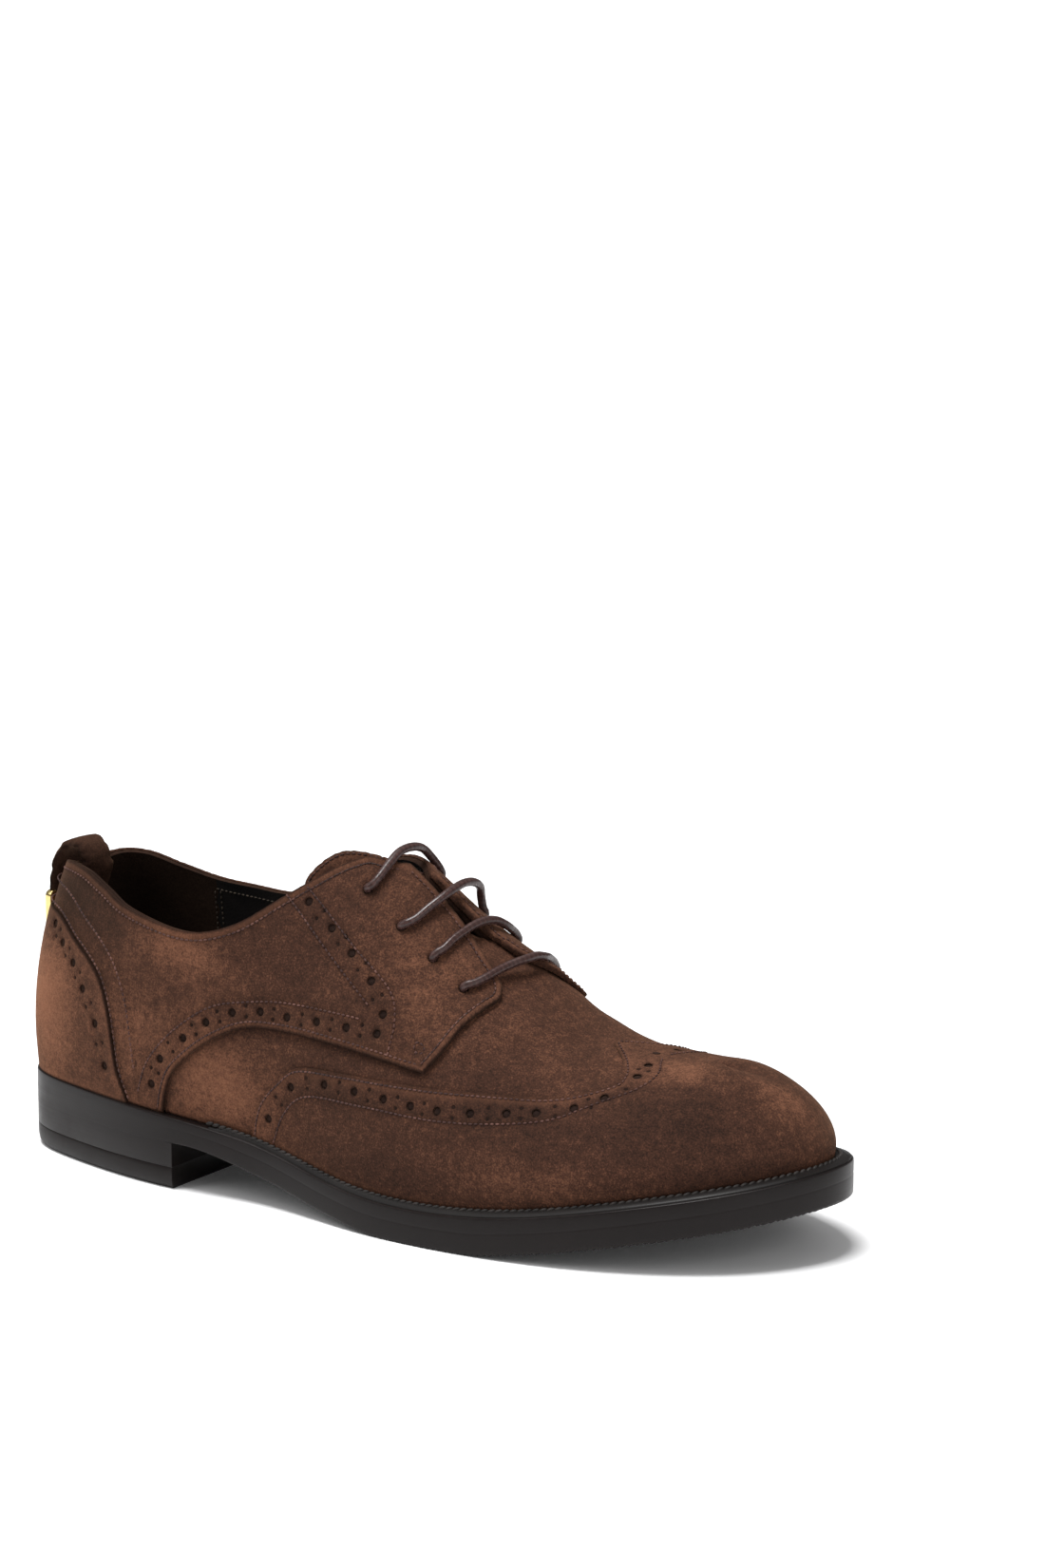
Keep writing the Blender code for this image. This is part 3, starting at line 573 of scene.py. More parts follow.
    def line(self, controls: Array, step: float = 1.0, smooth: bool = True) -> Array:
        """A line over the face, through places, with points at even distances.

        Args:
            controls: Rows of station and turn.
            step: The distance between points.
            smooth: Whether the line flows through the places or runs straight between them.

        Returns:
            Rows of station and turn.
        """
        scaled = np.asarray(controls, float) * PLANE_SCALE
        if smooth and len(scaled) > 2:
            dense = flowing(scaled)
        else:
            pieces = [np.linspace(a, b, 60, endpoint=False) for a, b in zip(scaled[:-1], scaled[1:])]
            dense = np.concatenate(pieces + [scaled[-1:]])
        places = dense / PLANE_SCALE
        return spaced(places, run_lengths(self.face(*places.T)), step)

    def beside(self, places: Array, distance: float) -> Array:
        """A line moved sideways over the face.

        Args:
            places: The line's rows of station and turn.
            distance: How far to move it, to its left where positive.

        Returns:
            The new rows of station and turn.
        """
        heading = unit(np.gradient(self.face(*places.T), axis=0))
        left = unit(np.cross(self.axes(*places.T)[2], heading))
        return self.carry(places, left * distance)

    def lifted(self, places: Array, lift: Any) -> Array:
        """Points that stand a distance off the face, creases included.

        Args:
            places: Rows of station and turn.
            lift: The distance, or one for each place.

        Returns:
            The points' x, y and z.
        """
        height = np.broadcast_to(np.asarray(lift, float), len(places)) + self.relief(*places.T)
        return self.face(*places.T) + self.axes(*places.T)[2] * height[:, None]

    def world(self, points: Array) -> Array:
        """Points of the last's frame, in metres in the frame of the solids."""
        return (np.asarray(points, float) + self.shift) * MM


def sided(places: Sequence[Place], side: Side) -> Array:
    """Places of station and climb as rows of station and turn on one side."""
    station, climb = np.array(places, float).T
    return np.stack([station, side.value * (100.0 - climb)], -1)


class Wire:
    """A node's value: an output socket with arithmetic that adds Math nodes."""

    def __init__(self, web: Web, socket: NodeSocket) -> None:
        """Wrap a socket of a node tree."""
        self.web = web
        self.socket = socket

    def _math(self, operation: str, first: Any, second: Any = 0.0) -> Wire:
        """A Math node on two values."""
        return self.web.node("ShaderNodeMath", {"operation": operation}, {0: first, 1: second})

    def __add__(self, other: Any) -> Wire:
        """Sum."""
        return self._math("ADD", self, other)

    __radd__ = __add__

    def __sub__(self, other: Any) -> Wire:
        """Difference."""
        return self._math("SUBTRACT", self, other)

    def __rsub__(self, other: Any) -> Wire:
        """Difference from a number."""
        return self._math("SUBTRACT", other, self)

    def __mul__(self, other: Any) -> Wire:
        """Product."""
        return self._math("MULTIPLY", self, other)

    __rmul__ = __mul__

    def sine(self) -> Wire:
        """Sine."""
        return self._math("SINE", self)

    def band(self, low: float, high: float) -> Wire:
        """A soft step from 0 at low to 1 at high."""
        settings = {"interpolation_type": "SMOOTHSTEP"}
        return self.web.node("ShaderNodeMapRange", settings, {0: self, 1: low, 2: high})

    def other(self, out: int) -> Wire:
        """Another output of the same node."""
        return Wire(self.web, self.socket.node.outputs[out])


class Web:
    """A node tree, with one method that adds any node."""

    def __init__(self, tree: bpy.types.NodeTree) -> None:
        """Work on a tree."""
        self.tree = tree

    def node(self, kind: str, settings: dict[str, Any] | None = None,
             inputs: dict[Any, Any] | None = None, out: Any = 0) -> Wire:
        """Add any node.

        Args:
            kind: The node's type.
            settings: Its properties, and "stops" for a ramp.
            inputs: Values or wires by socket name or number.
            out: Which output to give.

        Returns:
            The output as a wire.
        """
        made = self.tree.nodes.new(kind)
        for key, value in (settings or {}).items():
            if key == "stops":
                self._set_stops(made.color_ramp, value)
            else:
                setattr(made, key, value)
        for key, value in (inputs or {}).items():
            self.feed(made.inputs[key], value)
        return Wire(self, made.outputs[out])

    @staticmethod
    def _set_stops(ramp: bpy.types.ColorRamp, stops: Sequence[tuple[float, Triple]]) -> None:
        """Set a ramp's stops.

        Args:
            ramp: The ramp.
            stops: Place and colour of each stop.
        """
        while len(ramp.elements) < len(stops):
            ramp.elements.new(1.0)
        for element, (place, color) in zip(ramp.elements, stops):
            element.position = place
            element.color = (*color, 1.0)

    def feed(self, socket: NodeSocket, value: Any) -> None:
        """Link a wire to a socket, or set its value.

        Args:
            socket: The input.
            value: A wire, a number, a colour or anything else that the socket takes.
        """
        if isinstance(value, Wire):
            self.tree.links.new(value.socket, socket)
        elif socket.type == "RGBA":
            socket.default_value = (*value, 1.0)
        else:
            socket.default_value = value


class Paint(Web):
    """The nodes of one material, with its Principled shader."""

    def __init__(self, name: str) -> None:
        """Start a material.

        Args:
            name: The material's name.
        """
        self.material = bpy.data.materials.new(name)
        self.material.use_nodes = True
        super().__init__(self.material.node_tree)
        self.shader = self.tree.nodes["Principled BSDF"]

    def set(self, **values: Any) -> None:
        """Feed the shader's sockets, named with _ for spaces."""
        for key, value in values.items():
            self.feed(self.shader.inputs[key.replace("_", " ")], value)

    def coordinates(self, stretch: Triple = (1, 1, 1), turn: Triple = (0, 0, 0)) -> Wire:
        """Object coordinates, turned and stretched.

        Args:
            stretch: The scale of each axis.
            turn: The turn about each axis, in degrees.

        Returns:
            The coordinates.
        """
        place = self.node("ShaderNodeTexCoord", out="Object")
        angles = tuple(math.radians(a) for a in turn)
        return self.node("ShaderNodeMapping", None, {"Vector": place, "Scale": stretch, "Rotation": angles})

    def noise(self, vector: Wire, scale: float, detail: float, rough: float, warp: float = 0.0) -> Wire:
        """A noise value from 0 to 1."""
        inputs = {"Vector": vector, "Scale": scale, "Detail": detail, "Roughness": rough, "Distortion": warp}
        return self.node("ShaderNodeTexNoise", None, inputs)

    def mix(self, share: Any, first: Any, second: Any) -> Wire:
        """A mix of two colours."""
        return self.node("ShaderNodeMix", {"data_type": "RGBA"}, {0: share, 6: first, 7: second}, out=2)

    def attribute(self, name: str) -> Wire:
        """A value stored on the mesh's points."""
        return self.node("ShaderNodeAttribute", {"attribute_name": name}, out="Fac")

    def bump(self, height: Wire, strength: float, distance: float) -> Wire:
        """A normal bumped by a height."""
        inputs = {"Height": height, "Strength": strength, "Distance": distance * MM}
        return self.node("ShaderNodeBump", None, inputs)


@dataclass(frozen=True)
class Finish:
    """A named finish. Each kind of finish lays out its own nodes."""

    name: str

    def material(self) -> Material:
        """Make the material.

        Returns:
            The material.
        """
        paint = Paint(self.name)
        self.lay_out(paint)
        return paint.material

    def lay_out(self, paint: Paint) -> None:
        """Lay out the finish's nodes."""
        raise NotImplementedError


@dataclass(frozen=True)
class Suede(Finish):
    """Brushed suede: nap lying different ways with painted light and shade in its tone, short fibres, a
    lighter band in from the hems, and dark cut edges with painted shade.
    """

    dark: Triple
    middle: Triple
    light: Triple
    # Colour of dark cut edges, and of the painted shade round holes, along seams, beside shaded lines and on
    # inner faces
    edge: Triple
    drift: float = 0.34
    sheen: float = 0.12

    def lay_out(self, paint: Paint) -> None:
        """Lay out the finish's nodes.

        Args:
            paint: The material's nodes.
        """
        flat = paint.coordinates()
        drift = paint.noise(flat, 46.0, 5.0, 0.62, 0.5)
        strokes = paint.noise(paint.coordinates((70, 70, 300), (0, 20, 0)), 1.0, 4.0, 0.65, 1.0)
        fleck = paint.noise(flat, 430.0, 3.0, 0.7, 0.3)
        fibre = paint.noise(flat, 1700.0, 3.0, 0.7)
        # The stored tone is brushed nap and painted light and shade.
        tone = paint.attribute("nap") * 0.36 + (drift - 0.5) * self.drift + (strokes - 0.5) * 0.28
        tone = tone + (fleck - 0.5) * 0.62 + (fibre - 0.5) * 1.1 + 0.5
        stops = [(0.12, self.dark), (0.4, self.middle), (0.88, self.light)]
        nap = paint.node("ShaderNodeValToRGB", {"stops": stops}, {0: tone * 0.8})
        # A lighter band a little in from the cut edges
        hem_band_tone = paint.mix(paint.attribute("worn") * 0.22, nap, self.light)
        # rim mixes in the edge colour: dark cut edges and painted shade
        paint.set(
            Base_Color=paint.mix(paint.attribute("rim") * 0.85, hem_band_tone, self.edge),
            Roughness=fleck * 0.15 + 0.84,
            Normal=paint.bump(fibre * 0.6 + fleck * 0.7, 0.6, 0.35),
            Specular_IOR_Level=0.05,
            Sheen_Weight=self.sheen,
            Sheen_Roughness=0.45,
            Sheen_Tint=(0.75, 0.42, 0.24),
        )


@dataclass(frozen=True)
class Rubber(Finish):
    """Moulded rubber with faint lines along the edge and rubbed patches."""

    color: Triple
    worn: Triple
    gloss: float
    coat: float

    def lay_out(self, paint: Paint) -> None:
        """Lay out the finish's nodes.

        Args:
            paint: The material's nodes.
        """
        flat = paint.coordinates()
        lines = paint.noise(paint.coordinates((14, 14, 900)), 1.0, 3.0, 0.6, 0.2)
        grit = paint.noise(flat, 2200.0, 2.0, 0.6)
        wear = paint.noise(flat, 34.0, 5.0, 0.6, 0.5).band(0.42, 0.78)
        paint.set(
            Base_Color=paint.mix(wear, self.color, self.worn),
            Roughness=self.gloss + wear * 0.16 + lines * 0.14 + grit * 0.05 - 0.1,
            Normal=paint.bump(lines * 0.6 + grit * 0.35, 0.25, 0.12),
            Coat_Weight=self.coat,
            Coat_Roughness=0.2,
            Specular_IOR_Level=0.15,
        )


@dataclass(frozen=True)
class Cord(Finish):
    """Round waxed braid: slanted strands crossing over, with rubbed shine."""

    color: Triple
    light: Triple
    strands: float
    pitch: float

    def lay_out(self, paint: Paint) -> None:
        """Lay out the finish's nodes.

        Args:
            paint: The material's nodes.
        """
        run = paint.node("ShaderNodeUVMap", {"uv_map": "run"})
        along = paint.node("ShaderNodeSeparateXYZ", None, {0: run})
        lean = along * (2 * math.pi / self.pitch)
        twist = along.other(1) * (2 * math.pi * self.strands)
        weave = (lean + twist).sine() * (lean - twist).sine()
        fuzz = paint.noise(paint.coordinates(), 900.0, 3.0, 0.6)
        wax = paint.noise(paint.coordinates(), 160.0, 3.0, 0.6)
        paint.set(
            Base_Color=paint.mix((weave * 0.2 + fuzz * 0.6 + 0.1).band(0.2, 0.8), self.color, self.light),
            Roughness=wax.band(0.35, 0.7) * 0.24 + 0.24,
            Normal=paint.bump(weave * 0.35 + fuzz * 0.4, 0.4, 0.12),
            Specular_IOR_Level=0.24,
            Coat_Weight=0.1,
            Coat_Roughness=0.2,
        )


@dataclass(frozen=True)
class Leather(Finish):
    """Smooth lining leather with a fine pebble."""

    color: Triple
    light: Triple
    gloss: float

    def lay_out(self, paint: Paint) -> None:
        """Lay out the finish's nodes.

        Args:
            paint: The material's nodes.
        """
        flat = paint.coordinates()
        grain = {"Vector": flat, "Scale": 900.0}
        pebble = paint.node("ShaderNodeTexVoronoi", {"feature": "DISTANCE_TO_EDGE"}, grain)
        cloud = paint.noise(flat, 45.0, 4.0, 0.6, 0.4)
        paint.set(
            Base_Color=paint.mix(cloud.band(0.3, 0.75), self.color, self.light),
            Roughness=cloud * 0.2 + self.gloss,
            Normal=paint.bump(pebble.band(0.0, 0.25), 0.3, 0.12),
            Specular_IOR_Level=0.35,
        )


@dataclass(frozen=True)
class Thread(Finish):
    """Twisted sewing thread."""

    color: Triple
    light: Triple

    def lay_out(self, paint: Paint) -> None:
        """Lay out the finish's nodes.

        Args:
            paint: The material's nodes.
        """
        flat = paint.coordinates()
        dye = paint.noise(flat, 130.0, 3.0, 0.7)
        ply = paint.noise(flat, 2600.0, 2.0, 0.5)
        paint.set(
            Base_Color=paint.mix(dye.band(0.38, 0.66), self.color, self.light),
            Roughness=ply * 0.2 + 0.55,
            Normal=paint.bump(ply, 0.4, 0.1),
            Specular_IOR_Level=0.3,
        )


@dataclass(frozen=True)
class Gold(Finish):
    """Polished gold with hairline wear."""

    color: Triple

    def lay_out(self, paint: Paint) -> None:
        """Lay out the finish's nodes.

        Args:
            paint: The material's nodes.
        """
        hair = paint.noise(paint.coordinates((300, 300, 4000)), 1.0, 2.0, 0.5)
        haze = paint.noise(paint.coordinates(), 220.0, 3.0, 0.5)
        deep = tuple(c * 0.8 for c in self.color)
        paint.set(
            Base_Color=paint.mix(haze.band(0.3, 0.8), self.color, deep),
            Metallic=1.0,
            Roughness=hair * 0.12 + haze * 0.1 + 0.1,
            Normal=paint.bump(hair, 0.08, 0.05),
        )


@dataclass(frozen=True)
class Backdrop(Finish):
    """Plain pale floor."""

    color: Triple
    glow: float

    def lay_out(self, paint: Paint) -> None:
        """Lay out the finish's nodes.

        Args:
            paint: The material's nodes.
        """
        tone = paint.noise(paint.coordinates(), 3.0, 2.0, 0.5)
        paint.set(
            Base_Color=self.color,
            Roughness=tone * 0.05 + 0.7,
            Specular_IOR_Level=0.2,
            Emission_Color=(1.0, 1.0, 1.0),
            Emission_Strength=self.glow,
        )


BROWN = Suede("suede", (0.0205, 0.0112, 0.0085), (0.055, 0.0249, 0.0164), (0.228, 0.0986, 0.0563),
              (0.0095, 0.0053, 0.0042))
DARK_SUEDE = Suede("dark_suede", (0.016, 0.008, 0.006), (0.038, 0.018, 0.012), (0.09, 0.043, 0.027),
                   (0.010, 0.0055, 0.0042))
HEEL_LINING = Suede("heel_lining", (0.014, 0.008, 0.006), (0.028, 0.016, 0.011), (0.052, 0.030, 0.020),
                    (0.012, 0.007, 0.005), 0.3, 0.03)
# Painted shade: dark suede for the floors of punched holes, standing for the shade inside them
PUNCH_SHADE = Suede("punched_hole_shade", (0.009, 0.0056, 0.0048), (0.017, 0.0098, 0.0080),
                   (0.040, 0.0220, 0.0170), (0.009, 0.0056, 0.0048))
LINING = Leather("lining", (0.006, 0.005, 0.005), (0.012, 0.009, 0.008), 0.42)
FOOTBED = Leather("footbed", (0.010, 0.007, 0.006), (0.018, 0.012, 0.010), 0.45)
SOLE_RUBBER = Rubber("sole_rubber", (0.0068, 0.0045, 0.0041), (0.0106, 0.0076, 0.0072), 0.34, 0.04)
LIFT_RUBBER = Rubber("top_lift_rubber", (0.0068, 0.0047, 0.0042), (0.0106, 0.0077, 0.0072), 0.38, 0.03)
WELT_BED = Rubber("welt_bed", (0.006, 0.0048, 0.0045), (0.011, 0.009, 0.0082), 0.5, 0.05)
LACE = Cord("waxed_lace", (0.034, 0.0165, 0.0145), (0.082, 0.042, 0.037), 3.0, 3.6)
THREAD = Thread("brown_thread", (0.034, 0.012, 0.009), (0.130, 0.057, 0.042))
# Painted shade: near-black grains at the needle holes, standing for the shade in them
NEEDLE_PIT_SHADE = Thread("needle_pit_shade", (0.012, 0.005, 0.004), (0.024, 0.010, 0.007))
PALE_THREAD = Thread("pale_thread", (0.034, 0.024, 0.017), (0.080, 0.060, 0.043))
WELT_THREAD = Thread("welt_thread", (0.008, 0.0063, 0.0056), (0.024, 0.019, 0.017))
GOLD = Gold("gold", (0.86, 0.66, 0.28))
FLOOR = Backdrop("floor", (0.93, 0.93, 0.935), 0.02)


class GeoTree(Web):
    """A Geometry Nodes tree with named inputs for its sizes, and one for its finish."""

    def __init__(self, name: str, sizes: dict[str, float | Triple]) -> None:
        """Start a tree that takes and gives geometry.

        Args:
            name: The tree's name.
            sizes: The names and defaults of its sizes.
        """
        super().__init__(bpy.data.node_groups.new(name, "GeometryNodeTree"))
        sockets = self.tree.interface
        for way in ("INPUT", "OUTPUT"):
            sockets.new_socket("Geometry", in_out=way, socket_type="NodeSocketGeometry")
        for label, size in sizes.items():
            kind = "NodeSocketVector" if isinstance(size, tuple) else "NodeSocketFloat"
            sockets.new_socket(label, in_out="INPUT", socket_type=kind).default_value = size
        sockets.new_socket("Finish", in_out="INPUT", socket_type="NodeSocketMaterial")
        self.entry = self.tree.nodes.new("NodeGroupInput")
        self.exit = self.tree.nodes.new("NodeGroupOutput")

    def given(self, name: str) -> Wire:
        """One of the tree's own inputs."""
        return Wire(self, self.entry.outputs[name])

    def stored(self, name: str, kind: str) -> Wire:
        """A value stored on the points, by its name."""
        return self.node("GeometryNodeInputNamedAttribute", {"data_type": kind}, {"Name": name})

    def lay(self, points: Wire, sides: tuple[int, int], turn: Wire, size: Wire) -> None:
        """End the tree: lay a round grain on every point, make them real and give them their finish.

        Args:
            points: The points.
            sides: The grain's segments and rings.
            turn: How each grain is turned.
            size: Its half sizes.
        """
        shape = {"Segments": sides[0], "Rings": sides[1], "Radius": 1.0}
        grain = self.node("GeometryNodeMeshUVSphere", None, shape)
        laid = self.node("GeometryNodeInstanceOnPoints", None,
                         {"Points": points, "Instance": grain, "Rotation": turn, "Scale": size})
        real = self.node("GeometryNodeRealizeInstances", None, {0: laid})
        smooth = self.node("GeometryNodeSetShadeSmooth", None, {0: real})
        finish = {"Geometry": smooth, "Material": self.given("Finish")}
        self.feed(self.exit.inputs[0], self.node("GeometryNodeSetMaterial", None, finish))

    def apply(self, item: Object, values: dict[str, Any]) -> None:
        """Run the tree on an object and keep the plain mesh it makes.

        Args:
            item: The object, with the points or lines that the tree starts from.
            values: Values of the tree's inputs by name.
        """
        modifier = item.modifiers.new(self.tree.name, "NODES")
        modifier.node_group = self.tree
        names = {s.name: s.identifier for s in self.tree.interface.items_tree if s.in_out == "INPUT"}
        for name, value in values.items():
            modifier[names[name]] = value
        graph = bpy.context.evaluated_depsgraph_get()
        made = bpy.data.meshes.new_from_object(item.evaluated_get(graph))
        item.modifiers.remove(modifier)
        item.data = made


def stitching_tree() -> GeoTree:
    """Stitches laid along lines: grains of thread at an even pitch, on the surface, slanted if asked.

    Returns:
        The tree.
    """
    whole = 9.0
    tree = GeoTree("stitching", {
        "Start": 0.0, "Pitch": 2.0 * MM, "Stitch": (0.8 * MM, 0.25 * MM, 0.25 * MM), "Slant": 0.0})
    lines = tree.node("GeometryNodeMeshToCurve", None, {0: tree.given("Geometry")})
    rest = tree.node("GeometryNodeTrimCurve", {"mode": "LENGTH"},
                     {0: lines, 4: tree.given("Start"), 5: whole})
    even = tree.node("GeometryNodeResampleCurve", {"mode": "LENGTH"},
                     {"Curve": rest, "Length": tree.given("Pitch")})
    tangent = tree.node("GeometryNodeInputTangent")
    held = tree.node("GeometryNodeStoreNamedAttribute", {"data_type": "FLOAT_VECTOR", "domain": "POINT"},
                     {"Geometry": even, "Name": "heading", "Value": tangent})
    dots = tree.node("GeometryNodeCurveToPoints", {"mode": "EVALUATED"}, {0: held}, "Points")
    ahead = tree.node("FunctionNodeAlignRotationToVector", {"axis": "X"},
                      {"Vector": tree.stored("heading", "FLOAT_VECTOR")})
    stand = tree.node("FunctionNodeAlignRotationToVector", {"axis": "Z", "pivot_axis": "X"},
                      {"Rotation": ahead, "Vector": tree.stored("outward", "FLOAT_VECTOR")})
    angle = tree.node("ShaderNodeCombineXYZ", None, {2: tree.given("Slant")})
    spin = tree.node("FunctionNodeEulerToRotation", None, {0: angle})
    turned = tree.node("FunctionNodeRotateRotation", {"rotation_space": "LOCAL"}, {0: stand, 1: spin})
    tree.lay(dots, (8, 5), turned, tree.given("Stitch"))
    return tree


def punching_tree() -> GeoTree:
    """Punched holes' dark floors of painted shade: a shallow dish under each hole, as wide as the hole asks.

    Returns:
        The tree.
    """
    tree = GeoTree("punching", {"Depth": 0.25 * MM})
    points = tree.node("GeometryNodeMeshToPoints", None, {0: tree.given("Geometry")})
    width = tree.stored("width", "FLOAT")
    size = tree.node("ShaderNodeCombineXYZ", None, {0: width, 1: width, 2: tree.given("Depth")})
    stand = tree.node("FunctionNodeAlignRotationToVector", {"axis": "Z"},
                      {"Vector": tree.stored("outward", "FLOAT_VECTOR")})
    tree.lay(points, (10, 4), stand, size)
    return tree


def in_scene(name: str, data: Any) -> Object:
    """A new object in the scene.

    Args:
        name: Its name.
        data: Its mesh, light or camera.

    Returns:
        The object.
    """
    item = bpy.data.objects.new(name, data)
    bpy.context.scene.collection.objects.link(item)
    return item


def new_object(name: str, points: Array, faces: Sequence[Sequence[int]], finishes: Sequence[Material],
               sharp: float = 50.0) -> Object:
    """A mesh object from points in metres.

    Args:
        name: The piece's name.
        points: Its points.
        faces: Its faces, outwards.
        finishes: Its materials.
        sharp: The angle from which an edge stays sharp, in degrees.

    Returns:
        The object, in the scene.
    """
    mesh = bpy.data.meshes.new(name)
    mesh.from_pydata(points.tolist(), [], [list(map(int, f)) for f in faces])
    mesh.validate()
    mesh.shade_smooth()
    mesh.set_sharp_from_angle(angle=math.radians(sharp))
    for finish in finishes:
        mesh.materials.append(finish)
    return in_scene(name, mesh)


def store(item: Object, name: str, values: Array, kind: str = "FLOAT") -> None:
    """Store a value, or a vector, on each point of a mesh.

    Args:
        item: The mesh's object.
        name: The value's name.
        values: The values, a row for each point.
        kind: FLOAT or FLOAT_VECTOR.
    """
    layer = item.data.attributes.new(name, kind, "POINT")
    slot = "vector" if kind == "FLOAT_VECTOR" else "value"
    layer.data.foreach_set(slot, np.asarray(values, np.float32).ravel())


def band(count: int, columns: int) -> list[Face]:
    """Faces of a closed band of rings that lie below each other.

    Args:
        count: How many rings there are.
        columns: How many points each has.

    Returns:
        The faces.
    """
    pairs = [(j, (j + 1) % columns) for j in range(columns)]
    tops = range(0, (count - 1) * columns, columns)
    return [(a + j, a + columns + j, a + columns + k, a + k) for a in tops for j, k in pairs]


def lid(ring: Sequence[int], upwards: bool) -> list[Face]:
    """Strip faces over a closed ring that runs out on one side and back on the other.

    Args:
        ring: Numbers of the ring's points.
        upwards: Whether the faces look up.

    Returns:
        The faces.
    """
    count = len(ring)
    faces = []
    for i in range(count // 2):
        corners = [ring[i], ring[i + 1], ring[(count - 1 - i) % count], ring[(count - i) % count]]
        corners = list(dict.fromkeys(corners))
        faces.append(tuple(corners if upwards else corners[::-1]))
    return faces


def spanned(ring: Array, ring_start: int, start: int, shares: Array,
            height: Callable[[Array, float], float], upwards: bool) -> tuple[Array, list[Face]]:
    """A shaped sheet between the two runs of a closed ring.

    Args:
        ring: The ring's points, out on one side and back on the other.
        ring_start: The number of its first point.
        start: The number that the sheet's first new point gets.
        shares: Where the new points lie between the two runs.
        height: The z of a new point, from its straight place and share.
        upwards: Whether the faces look up.

    Returns:
        The new points and the faces.
    """
    count = len(ring)
    half = count // 2
    points, index = [], np.zeros((half + 1, len(shares) + 2), int)
    for i in range(half + 1):
        j = (count - i) % count
        index[i] = ring_start + i
        index[i, -1] = ring_start + j
        if i in (0, half):
            continue
        for k, share in enumerate(shares):
            place = ring[i] * (1 - share) + ring[j] * share
            place[2] = height(place, share)
            index[i, k + 1] = start + len(points)
            points.append(place)
    faces = []
    for i in range(half):
        for k in range(index.shape[1] - 1):
            corners = [index[i, k], index[i, k + 1], index[i + 1, k + 1], index[i + 1, k]]
            if upwards:
                corners[1:] = corners[:0:-1]
            corners = tuple(dict.fromkeys(corners))
            if len(corners) > 2:
                faces.append(corners)
    return np.array(points), faces


def loft(name: str, rings: Array, finish: Material, sharp: float = 50.0) -> Object:
    """A closed piece through rings of points, with both ends capped.

    Args:
        name: The piece's name.
        rings: The rings, in metres.
        finish: Its material.
        sharp: The angle from which an edge stays sharp, in degrees.

    Returns:
        The piece.
    """
    count, columns = rings.shape[:2]
    ends = [tuple(range(columns)), tuple(range((count - 1) * columns, count * columns))[::-1]]
    return new_object(name, rings.reshape(-1, 3), band(count, columns) + ends, [finish], sharp)


class SeamLine(NamedTuple):
    """A row of stitches: its places, and how far it stands off the last."""

    places: Array
    lift: Any


@dataclass(frozen=True)
class Gape:
    """How a panel stands off the last beside a free edge."""

    edge: Array
    height: float
    reach: float

    def lift(self, points: Array) -> Array:
        """The lift at points in space."""
        return self.height * fade(distances(points, self.edge, 5 * self.reach), self.reach)


class Punch(NamedTuple):
    """A hole: its place by station and turn, and its radius."""

    place: tuple[float, float]
    radius: float


# Radius above which a punched hole counts as a large one
LARGE_PUNCH = 0.8


@dataclass(frozen=True)
class PunchBand:
    """Punched ornament along a line: large holes with a pair of small ones between them."""

    line: tuple[Place, ...]
    large: float = 1.35
    small: float = 0.5
    apart: float = 1.7

    def holes(self, last: Last, side: Side) -> list[Punch]:
        """The band's holes on one side.

        Args:
            last: The last.
            side: The side.

        Returns:
            The holes, in order along the line.
        """
        dense = flowing(sided(self.line, side) * PLANE_SCALE, 2) / PLANE_SCALE
        left, right = last.beside(dense, self.apart), last.beside(dense, -self.apart)
        out = []
        for i, place in enumerate(dense):
            if i % 2 == 0:
                out.append(Punch(tuple(place), self.large))
            else:
                out += [Punch(tuple(left[i]), self.small), Punch(tuple(right[i]), self.small)]
        return out


class Border(NamedTuple):
    """One stretch of a panel's outline."""

    places: tuple[Place, ...]
    hem: Hem = Hem.CUT
    smooth: bool = True


def straight(hem: Hem, *places: Place) -> Border:
    """A straight stretch of a panel's outline."""
    return Border(places, hem, False)


class Sheet(NamedTuple):
    """A panel before it gets its thickness, with points in space along its cut edges and its holes."""

    places: Array
    faces: Array
    joined: Array
    cuts: Array
    punched: Array


